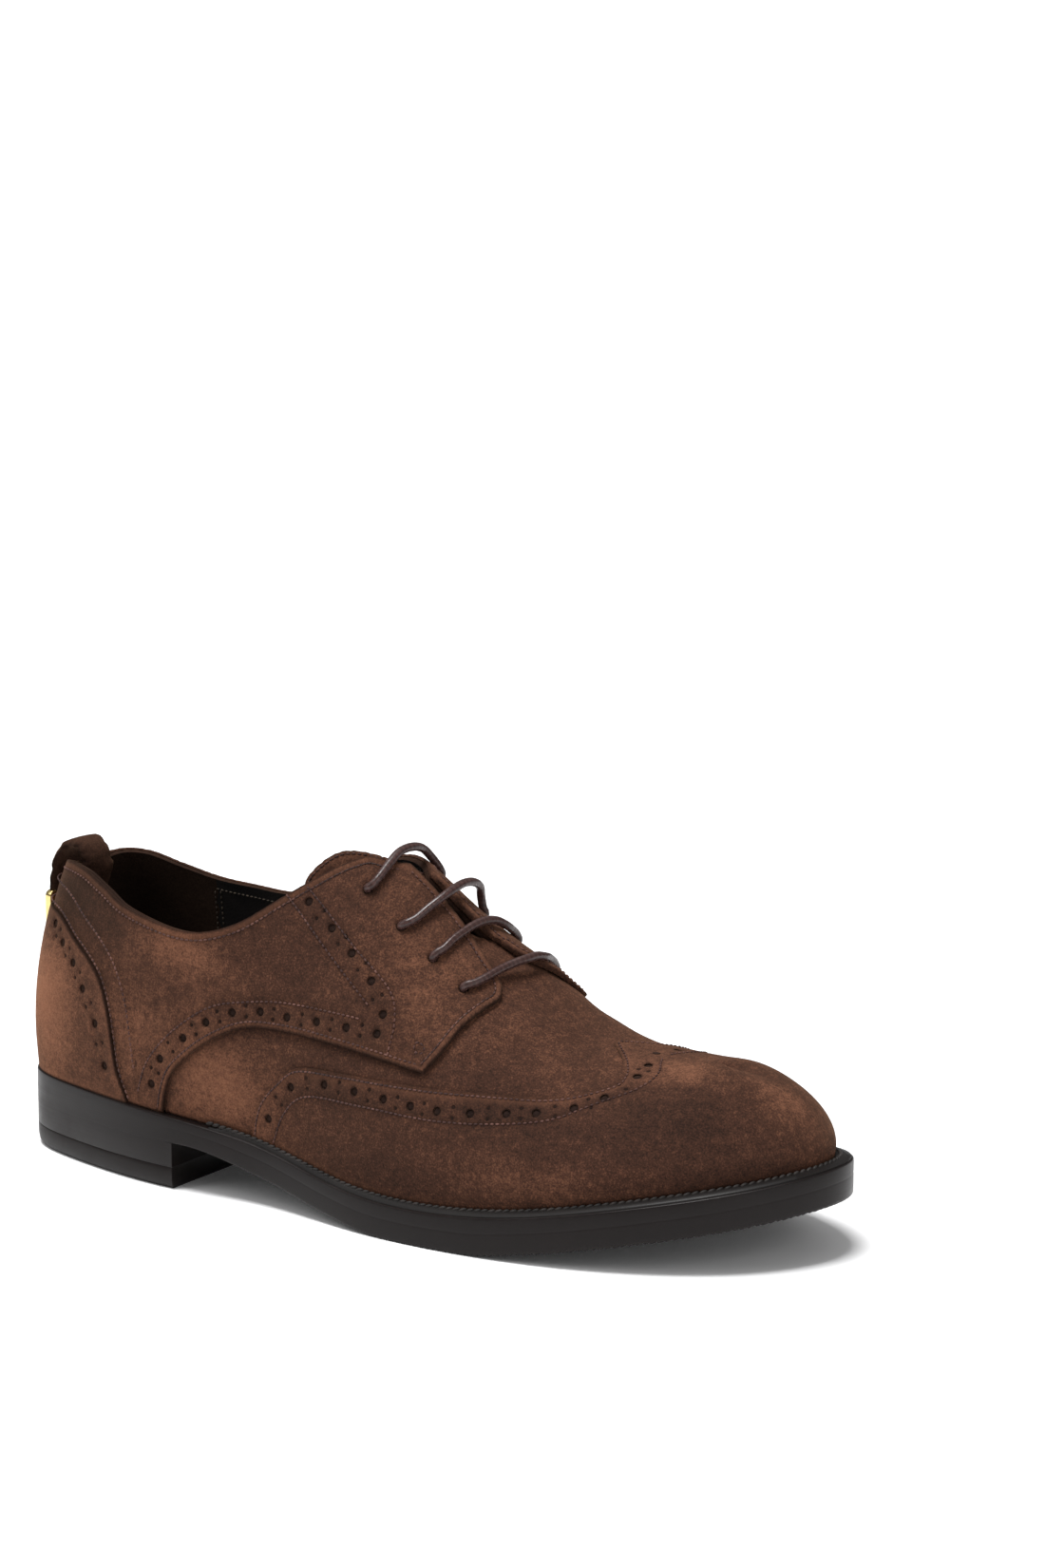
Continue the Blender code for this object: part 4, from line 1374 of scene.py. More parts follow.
@dataclass
class Panel:
    """A panel of the upper: cut to an outline on the last, with holes, thickness and rounded edges."""

    name: str
    last: Last
    borders: dict[Side, tuple[Border, ...]]
    base: float
    wall: float
    holes: dict[Side, list[Punch]] = field(default_factory=dict)
    rows: dict[Side, list[Array]] = field(default_factory=dict)
    shades: dict[Side, list[Array]] = field(default_factory=dict)
    gape: Gape = Gape(np.zeros((0, 3)), 0.0, 1.0)
    spacing: float = 1.9
    outline_share: float = 0.75
    fine_step: float = 0.4
    groove_step: float = 0.35
    insets: tuple[float, ...] = (0.3, 0.9)
    row_step: float = 1.1
    row_sides: float = 0.6
    soft_margin: float = 0.3
    filler_margin: float = 0.5
    far: float = 30.0
    lip: float = 0.75
    edge_share: float = 0.6
    hole_lip: float = 0.4
    hole_share: float = 0.72
    groove: float = 0.2
    groove_reach: float = 0.6
    row_reach: float = 0.55
    edge_reach: float = 0.6
    hole_reach: float = 0.25
    shade_reach: float = 0.8
    # How dark the cut edges are, with painted shade there, and how much painted shade goes round holes,
    # beside shaded lines, along rows and on the inner face
    edge_dark_and_shade: float = 1.0
    hole_painted_shade: float = 0.9
    shade_dark: float = 0.75
    row_painted_shade: float = 0.45
    inner_painted_shade: float = 0.3
    hem_band_at: float = 1.5
    hem_band_reach: float = 0.9

    def build(self, finish: Material, under: Sequence[Material] = (), zone: float = 0.0) -> Object:
        """Cut the panel, give it thickness, darken its cut edges and paint shade round its holes, along its
        rows and shaded lines and on its inner face, and mark a lighter band in from its cut edges.

        Args:
            finish: The outer face's material.
            under: The inner face's material, or the two on either side of the zone's station.
            zone: The station where the inner face changes material.

        Returns:
            The piece.
        """
        last, sheet = self.last, self._sheet()
        places, faces, count = sheet.places, sheet.faces, len(sheet.places)
        points, normal = last.face(*places.T), last.axes(*places.T)[2]
        marks = (sheet.cuts, sheet.punched, self._line_points(self.rows), self._line_points(self.shades))
        to_edge, to_hole, to_row, to_shade = (distances(points, mark, self.far) for mark in marks)
        rounded = np.sqrt(1 - (1 - np.clip(to_edge / self.lip, 0, 1)) ** 2)
        share = self.edge_share + (1 - self.edge_share) * rounded
        share *= self.hole_share + (1 - self.hole_share) * np.clip(to_hole / self.hole_lip, 0, 1)
        raised = self.gape.lift(points)
        inner = self.base + last.relief(*places.T) + 0.5 * raised
        sunk = self.groove * np.maximum(fade(to_row, self.row_reach), fade(to_shade, self.groove_reach))
        outer = inner + (self.wall + 0.5 * raised) * share - sunk
        shell = np.concatenate([points + normal * outer[:, None], points + normal * inner[:, None]])
        back = [(a + count, c + count, b + count) for a, b, c in faces]
        sides = [(b, a, a + count, b + count) for a, b in self._rim(faces)]
        item = new_object(self.name, last.world(shell), [*faces, *back, *sides], [finish, *under])
        if under:
            index = np.zeros(len(item.data.polygons), np.int32)
            stations = places[faces, 0].mean(axis=1)
            index[len(faces):2 * len(faces)] = np.where(stations < zone, 1, len(under))
            item.data.polygons.foreach_set("material_index", index)
        # Painted shade round holes, beside shaded lines, along stitch rows and on the inner face; dark cut
        # edges with painted shade at the edges
        dark = np.max([
            self.edge_dark_and_shade * fade(to_edge, self.edge_reach),
            self.hole_painted_shade * np.exp(-to_hole / self.hole_reach),
            self.shade_dark * fade(to_shade, self.shade_reach),
            self.row_painted_shade * fade(to_row, self.row_reach),
        ], axis=0)
        # A lighter band a little in from the cut edges
        worn = fade(to_edge - self.hem_band_at, self.hem_band_reach)
        store(item, "rim", np.concatenate([dark, np.maximum(dark, self.inner_painted_shade)]))
        store(item, "worn", np.concatenate([worn, np.zeros(count)]))
        # Tone of the brushed nap, with painted light and shade.
        store(item, "nap", np.tile(last.nap(*places.T), 2))
        return item

    def _line_points(self, every: dict[Side, list[Array]]) -> Array:
        """Points in space along lines on the panel, close together.

        Args:
            every: The lines of each side.

        Returns:
            The points.
        """
        lines = [line for side in every.values() for line in side]
        fine = [self.last.face(*self.last.line(line, self.groove_step, smooth=False).T) for line in lines]
        return np.concatenate(fine + [np.zeros((0, 3))])

    @staticmethod
    def _rim(faces: Array) -> list[tuple[int, int]]:
        """The sheet's open edges, in the direction of the faces on them."""
        seen = dict.fromkeys(edge for a, b, c in faces for edge in ((a, b), (b, c), (c, a)))
        return [edge for edge in seen if edge[::-1] not in seen]

    def _sheet(self) -> Sheet:
        """The panel's halves, joined.

        Returns:
            The whole sheet.
        """
        halves = [self._half(side) for side in self.borders]
        starts = np.cumsum([0] + [len(half.places) for half in halves])
        places, faces, joined, cuts, punched = (np.concatenate(part) for part in zip(*halves))
        faces = faces + np.repeat(starts[:-1], [len(half.faces) for half in halves])[:, None]
        if len(halves) > 1:
            places, faces = self._join(places, faces, joined)
        return Sheet(places, faces, joined, cuts, punched)

    def _join(self, places: Array, faces: Array, joined: Array) -> tuple[Array, Array]:
        """Merge the points that the two halves share.

        Args:
            places: Both halves' places.
            faces: Both halves' faces.
            joined: Which places lie on the join.

        Returns:
            The places that are left, and the faces on them.
        """
        points = self.last.face(*places.T)
        which = np.flatnonzero(joined)
        tree = near_tree(points[which])
        merged = np.arange(len(places))
        reach = 0.03
        for i in which:
            merged[i] = min(int(which[k]) for _, k, _ in tree.find_range(points[i], reach))
        used, again = np.unique(merged, return_inverse=True)
        faces = again.ravel()[faces]
        good = (faces != np.roll(faces, 1, axis=1)).all(axis=1)
        return places[used], faces[good]

    def _outline(self, side: Side) -> tuple[Array, Array, Array]:
        """One half's outline.

        Args:
            side: The half's side.

        Returns:
            Its places, which of them start a stretch that joins, and points in space along its cut edges.
        """
        loop, hems, cuts = [], [], []
        for border in self.borders[side]:
            places = sided(border.places, side)
            run = self.last.line(places, self.spacing * self.outline_share, border.smooth)
            loop.append(run[:-1])
            hems.append(np.full(len(run) - 1, border.hem is Hem.JOIN))
            if border.hem is Hem.CUT:
                cuts.append(self.last.face(*self.last.line(places, self.fine_step, border.smooth).T))
        return np.concatenate(loop), np.concatenate(hems), np.concatenate(cuts)

    def _half(self, side: Side) -> Sheet:
        """One half, cut out and filled with triangles.

        Args:
            side: The half's side.

        Returns:
            The half.
        """
        outline, hem, cuts = self._outline(side)
        loop = outline * PLANE_SCALE
        holes = [self._circle(punch, 0.0) for punch in self.holes.get(side, [])]
        hole_places = np.concatenate(holes + [np.zeros((0, 2))])
        soft = self._soft_places(side, outline, hem, cuts)
        filler = self._filler(loop, np.concatenate([outline, hole_places, soft]), side)
        rings = [outline, *holes]
        free = -2
        owners = [np.full(len(ring), i - 1) for i, ring in enumerate(rings)]
        owner = np.concatenate(owners + [np.full(len(soft) + len(filler), free)])
        edges, first = [], 0
        for ring in rings:
            edges += [(first + i, first + (i + 1) % len(ring)) for i in range(len(ring))]
            first += len(ring)
        flat = [tuple(p) for p in (np.concatenate([*rings, soft, filler]) * PLANE_SCALE).tolist()]
        verts, _, tris, origin, _, _ = delaunay_2d_cdt(flat, edges, [], 0, 1e-5)
        placed = np.array([tuple(v) for v in verts]) / PLANE_SCALE
        came = np.array([o[0] if o else -1 for o in origin])
        faces = np.array([t for t in tris if len(t) == 3])
        corner = np.where(came >= 0, owner[came], free)[faces]
        in_hole = (corner[:, 0] >= 0) & (corner == corner[:, :1]).all(axis=1)
        faces = faces[inside(placed[faces].mean(axis=1) * PLANE_SCALE, loop) & ~in_hole]
        joined = (came >= 0) & (came < len(outline))
        joined[joined] = (hem | np.roll(hem, 1))[came[joined]]
        used, again = np.unique(faces, return_inverse=True)
        return Sheet(placed[used], again.reshape(-1, 3), joined[used], cuts, self.last.face(*hole_places.T))

    def _soft_places(self, side: Side, outline: Array, hem: Array, cuts: Array) -> Array:
        """Places close to edges, holes and rows, which carry their rounding and grooves.

        Args:
            side: The half's side.
            outline: Its outline.
            hem: Which places start a stretch that joins.
            cuts: Points in space along its cut edges.

        Returns:
            The places.
        """
        last = self.last
        extra = [self._inset(outline, hem, distance, cuts) for distance in self.insets]
        extra += [self._circle(punch, self.hole_lip) for punch in self.holes.get(side, [])]
        for row in self.rows.get(side, []) + self.shades.get(side, []):
            dense = last.line(row, self.row_step, smooth=False)
            extra += [dense, last.beside(dense, self.row_sides), last.beside(dense, -self.row_sides)]
        soft = np.concatenate(extra)
        soft = soft[inside(soft * PLANE_SCALE, outline * PLANE_SCALE)]
        return self._clear_of_holes(soft, side, self.soft_margin)

    def _circle(self, punch: Punch, grow: float) -> Array:
        """Places round a hole.

        Args:
            punch: The hole.
            grow: How far outside it they lie.

        Returns:
            The places.
        """
        count = 14 if punch.radius > LARGE_PUNCH else 9
        angles = np.linspace(0, 2 * math.pi, count, endpoint=False)[:, None]
        centre = np.tile(np.array(punch.place, float), (count, 1))
        along, _, normal = self.last.axes(*centre.T)
        ahead = unit(along)
        beside = np.cross(normal, ahead)
        reach = punch.radius + grow
        return self.last.carry(centre, reach * (np.cos(angles) * ahead + np.sin(angles) * beside))

    def _inset(self, outline: Array, hem: Array, distance: float, cuts: Array) -> Array:
        """The cut part of the outline moved inwards.

        Args:
            outline: The outline's places.
            hem: Which of them start a stretch that joins.
            distance: How far to move it.
            cuts: Points in space along the cut edges.

        Returns:
            The places that keep their distance from every cut edge.
        """
        plane = outline * PLANE_SCALE
        ahead = np.roll(plane, -1, axis=0)
        area = (plane[:, 0] * ahead[:, 1] - ahead[:, 0] * plane[:, 1]).sum()
        points = self.last.face(*outline.T)
        heading = unit(np.roll(points, -1, axis=0) - np.roll(points, 1, axis=0))
        inward = np.cross(self.last.axes(*outline.T)[2], heading) * math.copysign(1.0, area)
        moved = self.last.carry(outline, inward * distance)[~(hem | np.roll(hem, 1))]
        moved[:, 0] = np.clip(moved[:, 0], 0, 100)
        return moved[distances(self.last.face(*moved.T), cuts, self.far) > 0.8 * distance]

    def _clear_of_holes(self, places: Array, side: Side, margin: float) -> Array:
        """The places that lie outside every hole by a margin.

        Args:
            places: Rows of station and turn.
            side: The half's side.
            margin: The margin.

        Returns:
            The places that are left.
        """
        points = self.last.face(*places.T)
        keep = np.ones(len(places), bool)
        for punch in self.holes.get(side, []):
            keep &= np.linalg.norm(points - self.last.face(*punch.place), axis=1) > punch.radius + margin
        return places[keep]

    def _filler(self, loop: Array, taken: Array, side: Side) -> Array:
        """Even places over the rest of the half, off the spine, where the halves join.

        Args:
            loop: The outline, in the plane.
            taken: The places that are there already.
            side: The half's side.

        Returns:
            The new places.
        """
        step = self.spacing
        low, high = loop.min(axis=0), loop.max(axis=0)
        across = np.arange(low[0], high[0], step)
        up = np.arange(low[1], high[1], step * 0.866)
        grid = np.stack(np.meshgrid(across, up), -1)
        grid[1::2, :, 0] += step / 2
        plane = grid.reshape(-1, 2)
        off_spine = np.abs(plane[:, 1]) > 0.1 * step
        plane = plane[inside(plane, loop) & off_spine]
        flat = np.column_stack([plane, np.zeros(len(plane))])
        busy = np.column_stack([taken * PLANE_SCALE, np.zeros(len(taken))])
        plane = plane[distances(flat, busy, self.far) > step * 0.5]
        return self._clear_of_holes(plane / PLANE_SCALE, side, self.filler_margin)


TOP_LINE = {
    Side.LATERAL: (
        (50, 93), (49.3, 88.8), (48.3, 85), (46.9, 81.3), (45.3, 74), (43.9, 67.9), (42.4, 62), (39.4, 52.3),
        (35, 40.7), (31, 35), (27.5, 33.8), (21, 37.2), (17.3, 42), (12.5, 47.6), (6, 50.8), (0, 50.5)),
    Side.MEDIAL: (
        (51.6, 101), (51.2, 98), (50.4, 91), (49.2, 84), (46, 72), (42.6, 61.5), (40.2, 53), (36, 43.2),
        (33, 38.8), (29, 36), (25.8, 35.6), (20.3, 37), (14.8, 41.5), (10, 46.7), (5, 50.1), (0, 50.5)),
}
FRONT_EDGE = {
    Side.LATERAL: (
        (58.4, 37.7), (59.6, 45.7), (60.9, 59), (62, 70.5), (62.5, 77.5), (62.2, 82.3), (61.4, 85.2),
        (59.6, 87.6), (56.4, 92.2), (53.1, 93.5), (50, 93)),
    Side.MEDIAL: (
        (58.4, 37.7), (60.3, 45.7), (62.9, 59), (65, 69.5), (66.1, 76), (65.7, 80), (64.9, 83.5),
        (63.3, 90.3), (61.1, 97.2), (58.6, 100.2), (56.6, 100.9), (53.3, 101.4), (51.6, 101)),
}
THROAT = {
    Side.LATERAL: ((50, 93), (53.1, 93.3), (55.8, 92.4), (57.4, 94.4), (58.4, 100)),
    Side.MEDIAL: ((51.6, 101), (53.3, 101.3), (56.6, 100.7), (58.4, 100)),
}
EYELETS = {
    Side.LATERAL: ((47.9, 70.4), (52.1, 69.4), (55.8, 69.8), (59.4, 69.8)),
    Side.MEDIAL: ((50.2, 75.5), (55, 75.5), (58.5, 75), (62.4, 74)),
}
QUARTER_EDGE = (
    (27.1, 0), (27.6, 3), (28.4, 6), (30.9, 11), (34, 16.5), (37, 21), (41.2, 25), (48.8, 30.8), (58.4, 37.7))
COUNTER_EDGE = (
    (0, 38), (4, 37.4), (9.9, 34.2), (13.8, 28.3), (17, 23.3), (18.6, 19.8), (19.9, 14.5), (20.7, 8.5),
    (21.2, 4), (22.5, 0))
COUNTER_TUCK = ((0, 32), (4, 31), (8.5, 27.5), (12, 21.5), (14.5, 14.5), (16.4, 6.5), (18, 0))
WING_BACK = (
    (37.8, 0), (38.1, 4), (38.8, 8.3), (41.1, 15), (43.1, 19.5), (49.2, 25.3), (54.8, 30.3), (60.6, 36.2),
    (66.6, 44.5), (71.3, 51.6), (74.1, 58.5), (76.4, 66.9), (77, 73))
WING_PEAK = ((77, 73), (75.4, 87.3), (72.7, 100))
WING_ROW = (
    (40.6, 2), (41.9, 8.6), (44.2, 14.7), (52, 21.2), (61.2, 27.1), (66.4, 32.6), (72, 41.3), (75.4, 52.4),
    (79, 66), (80.3, 80), (79.2, 97))
BAND_ROW = (
    (24.1, 2), (25.2, 6.2), (26.9, 10.2), (29.6, 15.3), (33.1, 21.4), (36.8, 25.9), (40.9, 30.4),
    (47.1, 36.1), (50.3, 39.2))
FACING_LEFT = ((40, 53.5), (45.4, 47.8), (51, 43.9))
FACING_RIGHT = ((42, 58.6), (47.8, 53.8), (53.4, 50.4), (54.3, 44.9), (54.3, 36.6))
TACK = ((57.2, 41.6), (57.9, 42.6), (57.9, 44.2), (57.2, 44.6), (56.8, 43.2), (57.2, 41.6))
TONGUE_TOP = {
    Side.LATERAL: (
        (44.5, 54.5), (42, 55.2), (40.9, 59), (41.2, 62.5), (41.9, 67), (42.7, 71.5), (43.8, 76.8),
        (44.9, 80.6), (46.3, 85), (47.7, 89.8), (48.7, 93.5), (49.4, 97), (49.7, 100)),
    Side.MEDIAL: ((54, 77), (52.2, 75.5), (51.2, 79), (51, 85), (50.5, 92), (49.7, 100)),
}
QUARTER_BAND = PunchBand((
    (25.9, 3.5), (27.1, 8), (30, 13.2), (32.6, 18), (35.5, 22.5), (38.7, 26), (41.9, 28.5), (45.6, 32),
    (49.2, 35.5), (52.7, 39.2)))
FACING_BAND = PunchBand(((42.4, 55.5), (45.5, 53.5), (48.2, 51.7), (50.9, 49.5), (52.9, 44.5)))
WING_BAND = PunchBand((
    (40, 6.2), (42.9, 15.5), (47.2, 20.7), (51, 23.5), (54.5, 25.7), (57.6, 27.5), (60.5, 29.5), (63.9, 33.2),
    (67.4, 38.2), (70.2, 42.2), (73.6, 48.7), (76.1, 57.2), (78.2, 75.7), (78.4, 88)))
COUNTER_BAND = PunchBand(((9.7, 31.5), (11.9, 27), (14.2, 22.7), (16.1, 17.5), (18.2, 11.2), (19.5, 4.2)))


@dataclass
class Upper:
    """The suede upper: vamp with lining, wing cap, quarters, heel counter, back strip and tongue."""

    last: Last
    lining_wall: float = 1.8
    panel_wall: float = 1.25
    wing_wall: float = 0.75
    counter_wall: float = 0.95
    strip_wall: float = 0.9
    strip_half: float = 1.5
    tongue_wall: float = 2.0
    tongue_lift: float = -4.4
    tongue_roll: tuple[float, float] = (2.1, 6.0)
    gap: float = 0.08
    eyelet_radius: float = 1.55
    row_inset: float = 1.9
    far_row_inset: float = 9.8
    wing_inset: float = 1.2
    front_inset: float = 2.3
    collar_inset: float = 2.6
    lining_inset: float = 3.4
    tongue_inset: float = 1.4
    shade_out: float = 0.35
    peak_hole: Punch = Punch((77.6, 0.5), 1.2)
    peak_raise: float = 0.82
    gapes: dict[Side, tuple[float, float]] = field(
        default_factory=lambda: {Side.LATERAL: (0.6, 5.0), Side.MEDIAL: (1.4, 6.5)})
    lining_zone: float = 20.0
    seams: list[SeamLine] = field(default_factory=list)
    pale_seams: list[SeamLine] = field(default_factory=list)
    punches: list[tuple[Punch, float]] = field(default_factory=list)

    def build(self) -> list[Object]:
        """Build every panel in order and dress it.

        Returns:
            The pieces.
        """
        suede = BROWN.material()
        return [
            self._vamp(suede, [HEEL_LINING.material(), LINING.material()]),
            self._wing_cap(suede),
            self._quarter(Side.LATERAL, suede),
            self._quarter(Side.MEDIAL, suede),
            self._counter(suede),
            self._back_strip(suede),
            self._tongue(suede),
        ]

    @staticmethod
    def _made(panel: Panel, node: str, suede: Material) -> Object:
        """Build a panel that stands for a node.

        Args:
            panel: The panel.
            node: The node's name.
            suede: Its material.

        Returns:
            The piece.
        """
        item = panel.build(suede)
        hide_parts(node)
        return item

    def _row(self, line: Array, lift: Any) -> Array:
        """Note a stitch row for sewing and give its line."""
        self.seams.append(SeamLine(line, lift))
        return line

    def _punch(self, holes: list[Punch], depth: float) -> list[Punch]:
        """Note holes for their dark floors of painted shade and give them."""
        self.punches += [(hole, depth) for hole in holes]
        return holes

    def _line(self, places: Sequence[Place], side: Side, move: float = 0.0) -> Array:
        """A line through places on one side, moved towards the toe or spine by a distance."""
        line = self.last.line(sided(places, side))
        return self.last.beside(line, side.value * move) if move else line

    def _eyelets(self, side: Side) -> list[Punch]:
        """The eyelet holes of one side."""
        return [Punch(tuple(place), self.eyelet_radius) for place in sided(EYELETS[side], side)]

    def _vamp(self, suede: Material, linings: list[Material]) -> Object:
        """The hollow wall: vamp outside, linings inside, open at collar, throat and underneath.

        Args:
            suede: The outer material.
            linings: The inner materials at the heel and ahead of it.

        Returns:
            The piece.
        """
        borders = {side: (
            straight(Hem.JOIN, (0, 0), (0, 50.5)),
            Border(TOP_LINE[side][::-1]),
            Border(THROAT[side]),
            straight(Hem.JOIN, (58.4, 100), (100, 100)),
            straight(Hem.JOIN, (100, 100), (100, 0)),
            straight(Hem.CUT, (100, 0), (0, 0)),
        ) for side in Side}
        holes = {side: self._eyelets(side) for side in Side}
        shades = {side: [self._line(QUARTER_EDGE, side, self.shade_out)[2:-2]] for side in Side}
        panel = Panel("vamp_and_lining", self.last, borders, -self.lining_wall, self.lining_wall, holes,
                      shades=shades, spacing=2.4)
        item = panel.build(suede, linings, self.lining_zone)
        inside_face = -self.lining_wall - 0.05
        for side in Side:
            collar = self._line(TOP_LINE[side][3:-1], side, -self.lining_inset)
            self.pale_seams.append(SeamLine(collar[collar[:, 0] > self.lining_zone], inside_face))
            for station in (self.lining_zone - 0.3, self.lining_zone + 0.5):
                seam = sided([(station, 8.0), (station, 33.5)], side)
                self.pale_seams.append(SeamLine(self.last.line(seam, smooth=False), inside_face))
        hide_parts("upper")
        return item

    def _wing_cap(self, suede: Material) -> Object:
        """Toe cap with wings back to the waist, nearly flush with the vamp.

        Args:
            suede: Its material.

        Returns:
            The piece.
        """
        borders = dict.fromkeys(Side, (
            Border(WING_BACK),
            Border(WING_PEAK),
            straight(Hem.JOIN, (72.7, 100), (100, 100)),
            straight(Hem.JOIN, (100, 100), (100, 0)),
            straight(Hem.CUT, (100, 0), (37.8, 0)),
        ))
        lift = self.gap + self.wing_wall
        holes, stitched = {}, {}
        self.punches.append((self.peak_hole, lift + self.peak_raise))
        for side in Side:
            holes[side] = self._punch(WING_BAND.holes(self.last, side), lift)
            back = self._line(WING_BACK, side, self.wing_inset)
            peak = self._line(WING_PEAK, side, self.wing_inset)
            edge = np.concatenate([back[3:-2], peak[2:-2]])
            stitched[side] = [self._row(edge, lift), self._row(self._line(WING_ROW, side), lift)]
        panel = Panel("wing_cap_suede", self.last, borders, self.gap, self.wing_wall, holes, stitched,
                      edge_dark_and_shade=0.4)
        return self._made(panel, "wing_cap", suede)

    def _quarter(self, side: Side, suede: Material) -> Object:
        """Lacing panel with facing, tab and collar.

        Args:
            side: Its side.
            suede: Its material.

        Returns:
            The piece.
        """
        borders = {side: (
            straight(Hem.CUT, (0, 50.5), (0, 32)),
            Border(COUNTER_TUCK),
            straight(Hem.CUT, (18, 0), (27.1, 0)),
            Border(QUARTER_EDGE),
            Border(FRONT_EDGE[side]),
            Border(TOP_LINE[side]),
        )}
        last, lift = self.last, self.gap + self.panel_wall
        medial = side is Side.MEDIAL
        free = last.line(sided(FRONT_EDGE[side], side), 0.6)
        if medial:
            free = free[(free[:, 0] > 53.0) & (free[:, 1] < 12.0)]
        gape = Gape(last.face(*free.T), *self.gapes[side])
        punched = QUARTER_BAND.holes(last, side) + FACING_BAND.holes(last, side)
        holes = self._punch(punched, lift) + self._eyelets(side)
        front = self._line(FRONT_EDGE[side], side, -self.front_inset)[2:-3]
        stitched = [
            self._row(self._line(QUARTER_EDGE, side, -self.row_inset)[2:-2], lift),
            self._row(front, lift + gape.lift(last.face(*front.T))),
            self._row(self._line(TOP_LINE[side], side, -self.collar_inset)[4:-2], lift),
            self._row(self._line(BAND_ROW, side), lift),
            self._row(self._line(FACING_LEFT, side), lift),
            self._row(self._line(FACING_RIGHT, side), lift),
            self._row(last.line(sided(TACK, side), 0.8), lift),
        ]
        shades = {side: [self._line(COUNTER_EDGE[1:], side, self.shade_out)[2:-2]]}
        name = f"quarter_{side.name.lower()}"
        panel = Panel(f"{name}_suede", last, borders, self.gap, self.panel_wall, {side: holes},
                      {side: stitched}, shades, gape, edge_dark_and_shade=0.35 if medial else 1.0)
        return self._made(panel, name, suede)

    def _counter(self, suede: Material) -> Object:
        """Panel round the heel, over the quarters.

        Args:
            suede: Its material.

        Returns:
            The piece.
        """
        borders = dict.fromkeys(Side, (
            straight(Hem.JOIN, (0, 0), (0, 38)),
            Border(COUNTER_EDGE),
            straight(Hem.CUT, (22.5, 0), (0, 0)),
        ))
        base = 2 * self.gap + self.panel_wall
        lift = base + self.counter_wall
        holes, stitched = {}, {}
        for side in Side:
            holes[side] = self._punch(COUNTER_BAND.holes(self.last, side), lift)
            near = self._line(COUNTER_EDGE, side, -self.row_inset)[2:-2]
            far = self._line(COUNTER_EDGE, side, -self.far_row_inset)[8:-12]
            stitched[side] = [self._row(near, lift), self._row(far, lift)]
        panel = Panel("heel_counter_suede", self.last, borders, base, self.counter_wall, holes, stitched)
        return self._made(panel, "heel_counter", suede)

    def _back_strip(self, suede: Material) -> Object:
        """Strip over the back seam, from under the counter's peak to the collar.

        Args:
            suede: Its material.

        Returns:
            The piece.
        """
        half = self.strip_half
        borders = dict.fromkeys(Side, (
            straight(Hem.JOIN, (0, 38.7), (0, 50.5)),
            straight(Hem.CUT, (0, 50.5), (half, 50.5)),
            straight(Hem.CUT, (half, 50.5), (half, 38.5)),
            straight(Hem.CUT, (half, 38.5), (0, 38.7)),
        ))
        base = 2 * self.gap + self.panel_wall
        stitched = {}
        for side in Side:
            row = sided([(half - 0.45, 39.5), (half - 0.45, 49.5)], side)
            stitched[side] = [self._row(self.last.line(row, smooth=False), base + self.strip_wall)]
        panel = Panel("back_strip_suede", self.last, borders, base, self.strip_wall, {}, stitched,
                      spacing=1.2)
        return self._made(panel, "back_strip", suede)

    def _tongue(self, suede: Material) -> Object:
        """Tongue under the facings, its rolled top standing a little above them.

        Args:
            suede: Its material.

        Returns:
            The piece.
        """
        borders = {side: (
            straight(Hem.JOIN, (49.7, 100), (63.5, 100)),
            straight(Hem.CUT, (63.5, 100), (63.5, 80)),
            straight(Hem.CUT, (63.5, 80), arch[0]),
            Border(arch),
        ) for side, arch in TONGUE_TOP.items()}
        last, top = self.last, self.tongue_lift
        rolled = np.concatenate([self._line(arch, side) for side, arch in TONGUE_TOP.items()])
        gape = Gape(last.face(*rolled.T), *self.tongue_roll)
        stitched = {}
        for side in Side:
            row = self._line(TONGUE_TOP[side], side, self.tongue_inset)[8:-1]
            stitched[side] = [self._row(row, top + gape.lift(last.face(*row.T)))]
        panel = Panel("tongue_suede", last, borders, top - self.tongue_wall, self.tongue_wall, {}, stitched,
                      gape=gape, spacing=1.8)
        return self._made(panel, "tongue", suede)


class Stitch(NamedTuple):
    """How a row is sewn: the pitch, half sizes of a stitch, where the first one sits and how it slants."""

    pitch: float
    size: Triple
    start: float = 0.0
    slant: float = 0.0


# Points of a line in space, and the outward direction at each
Run = tuple[Array, Array]


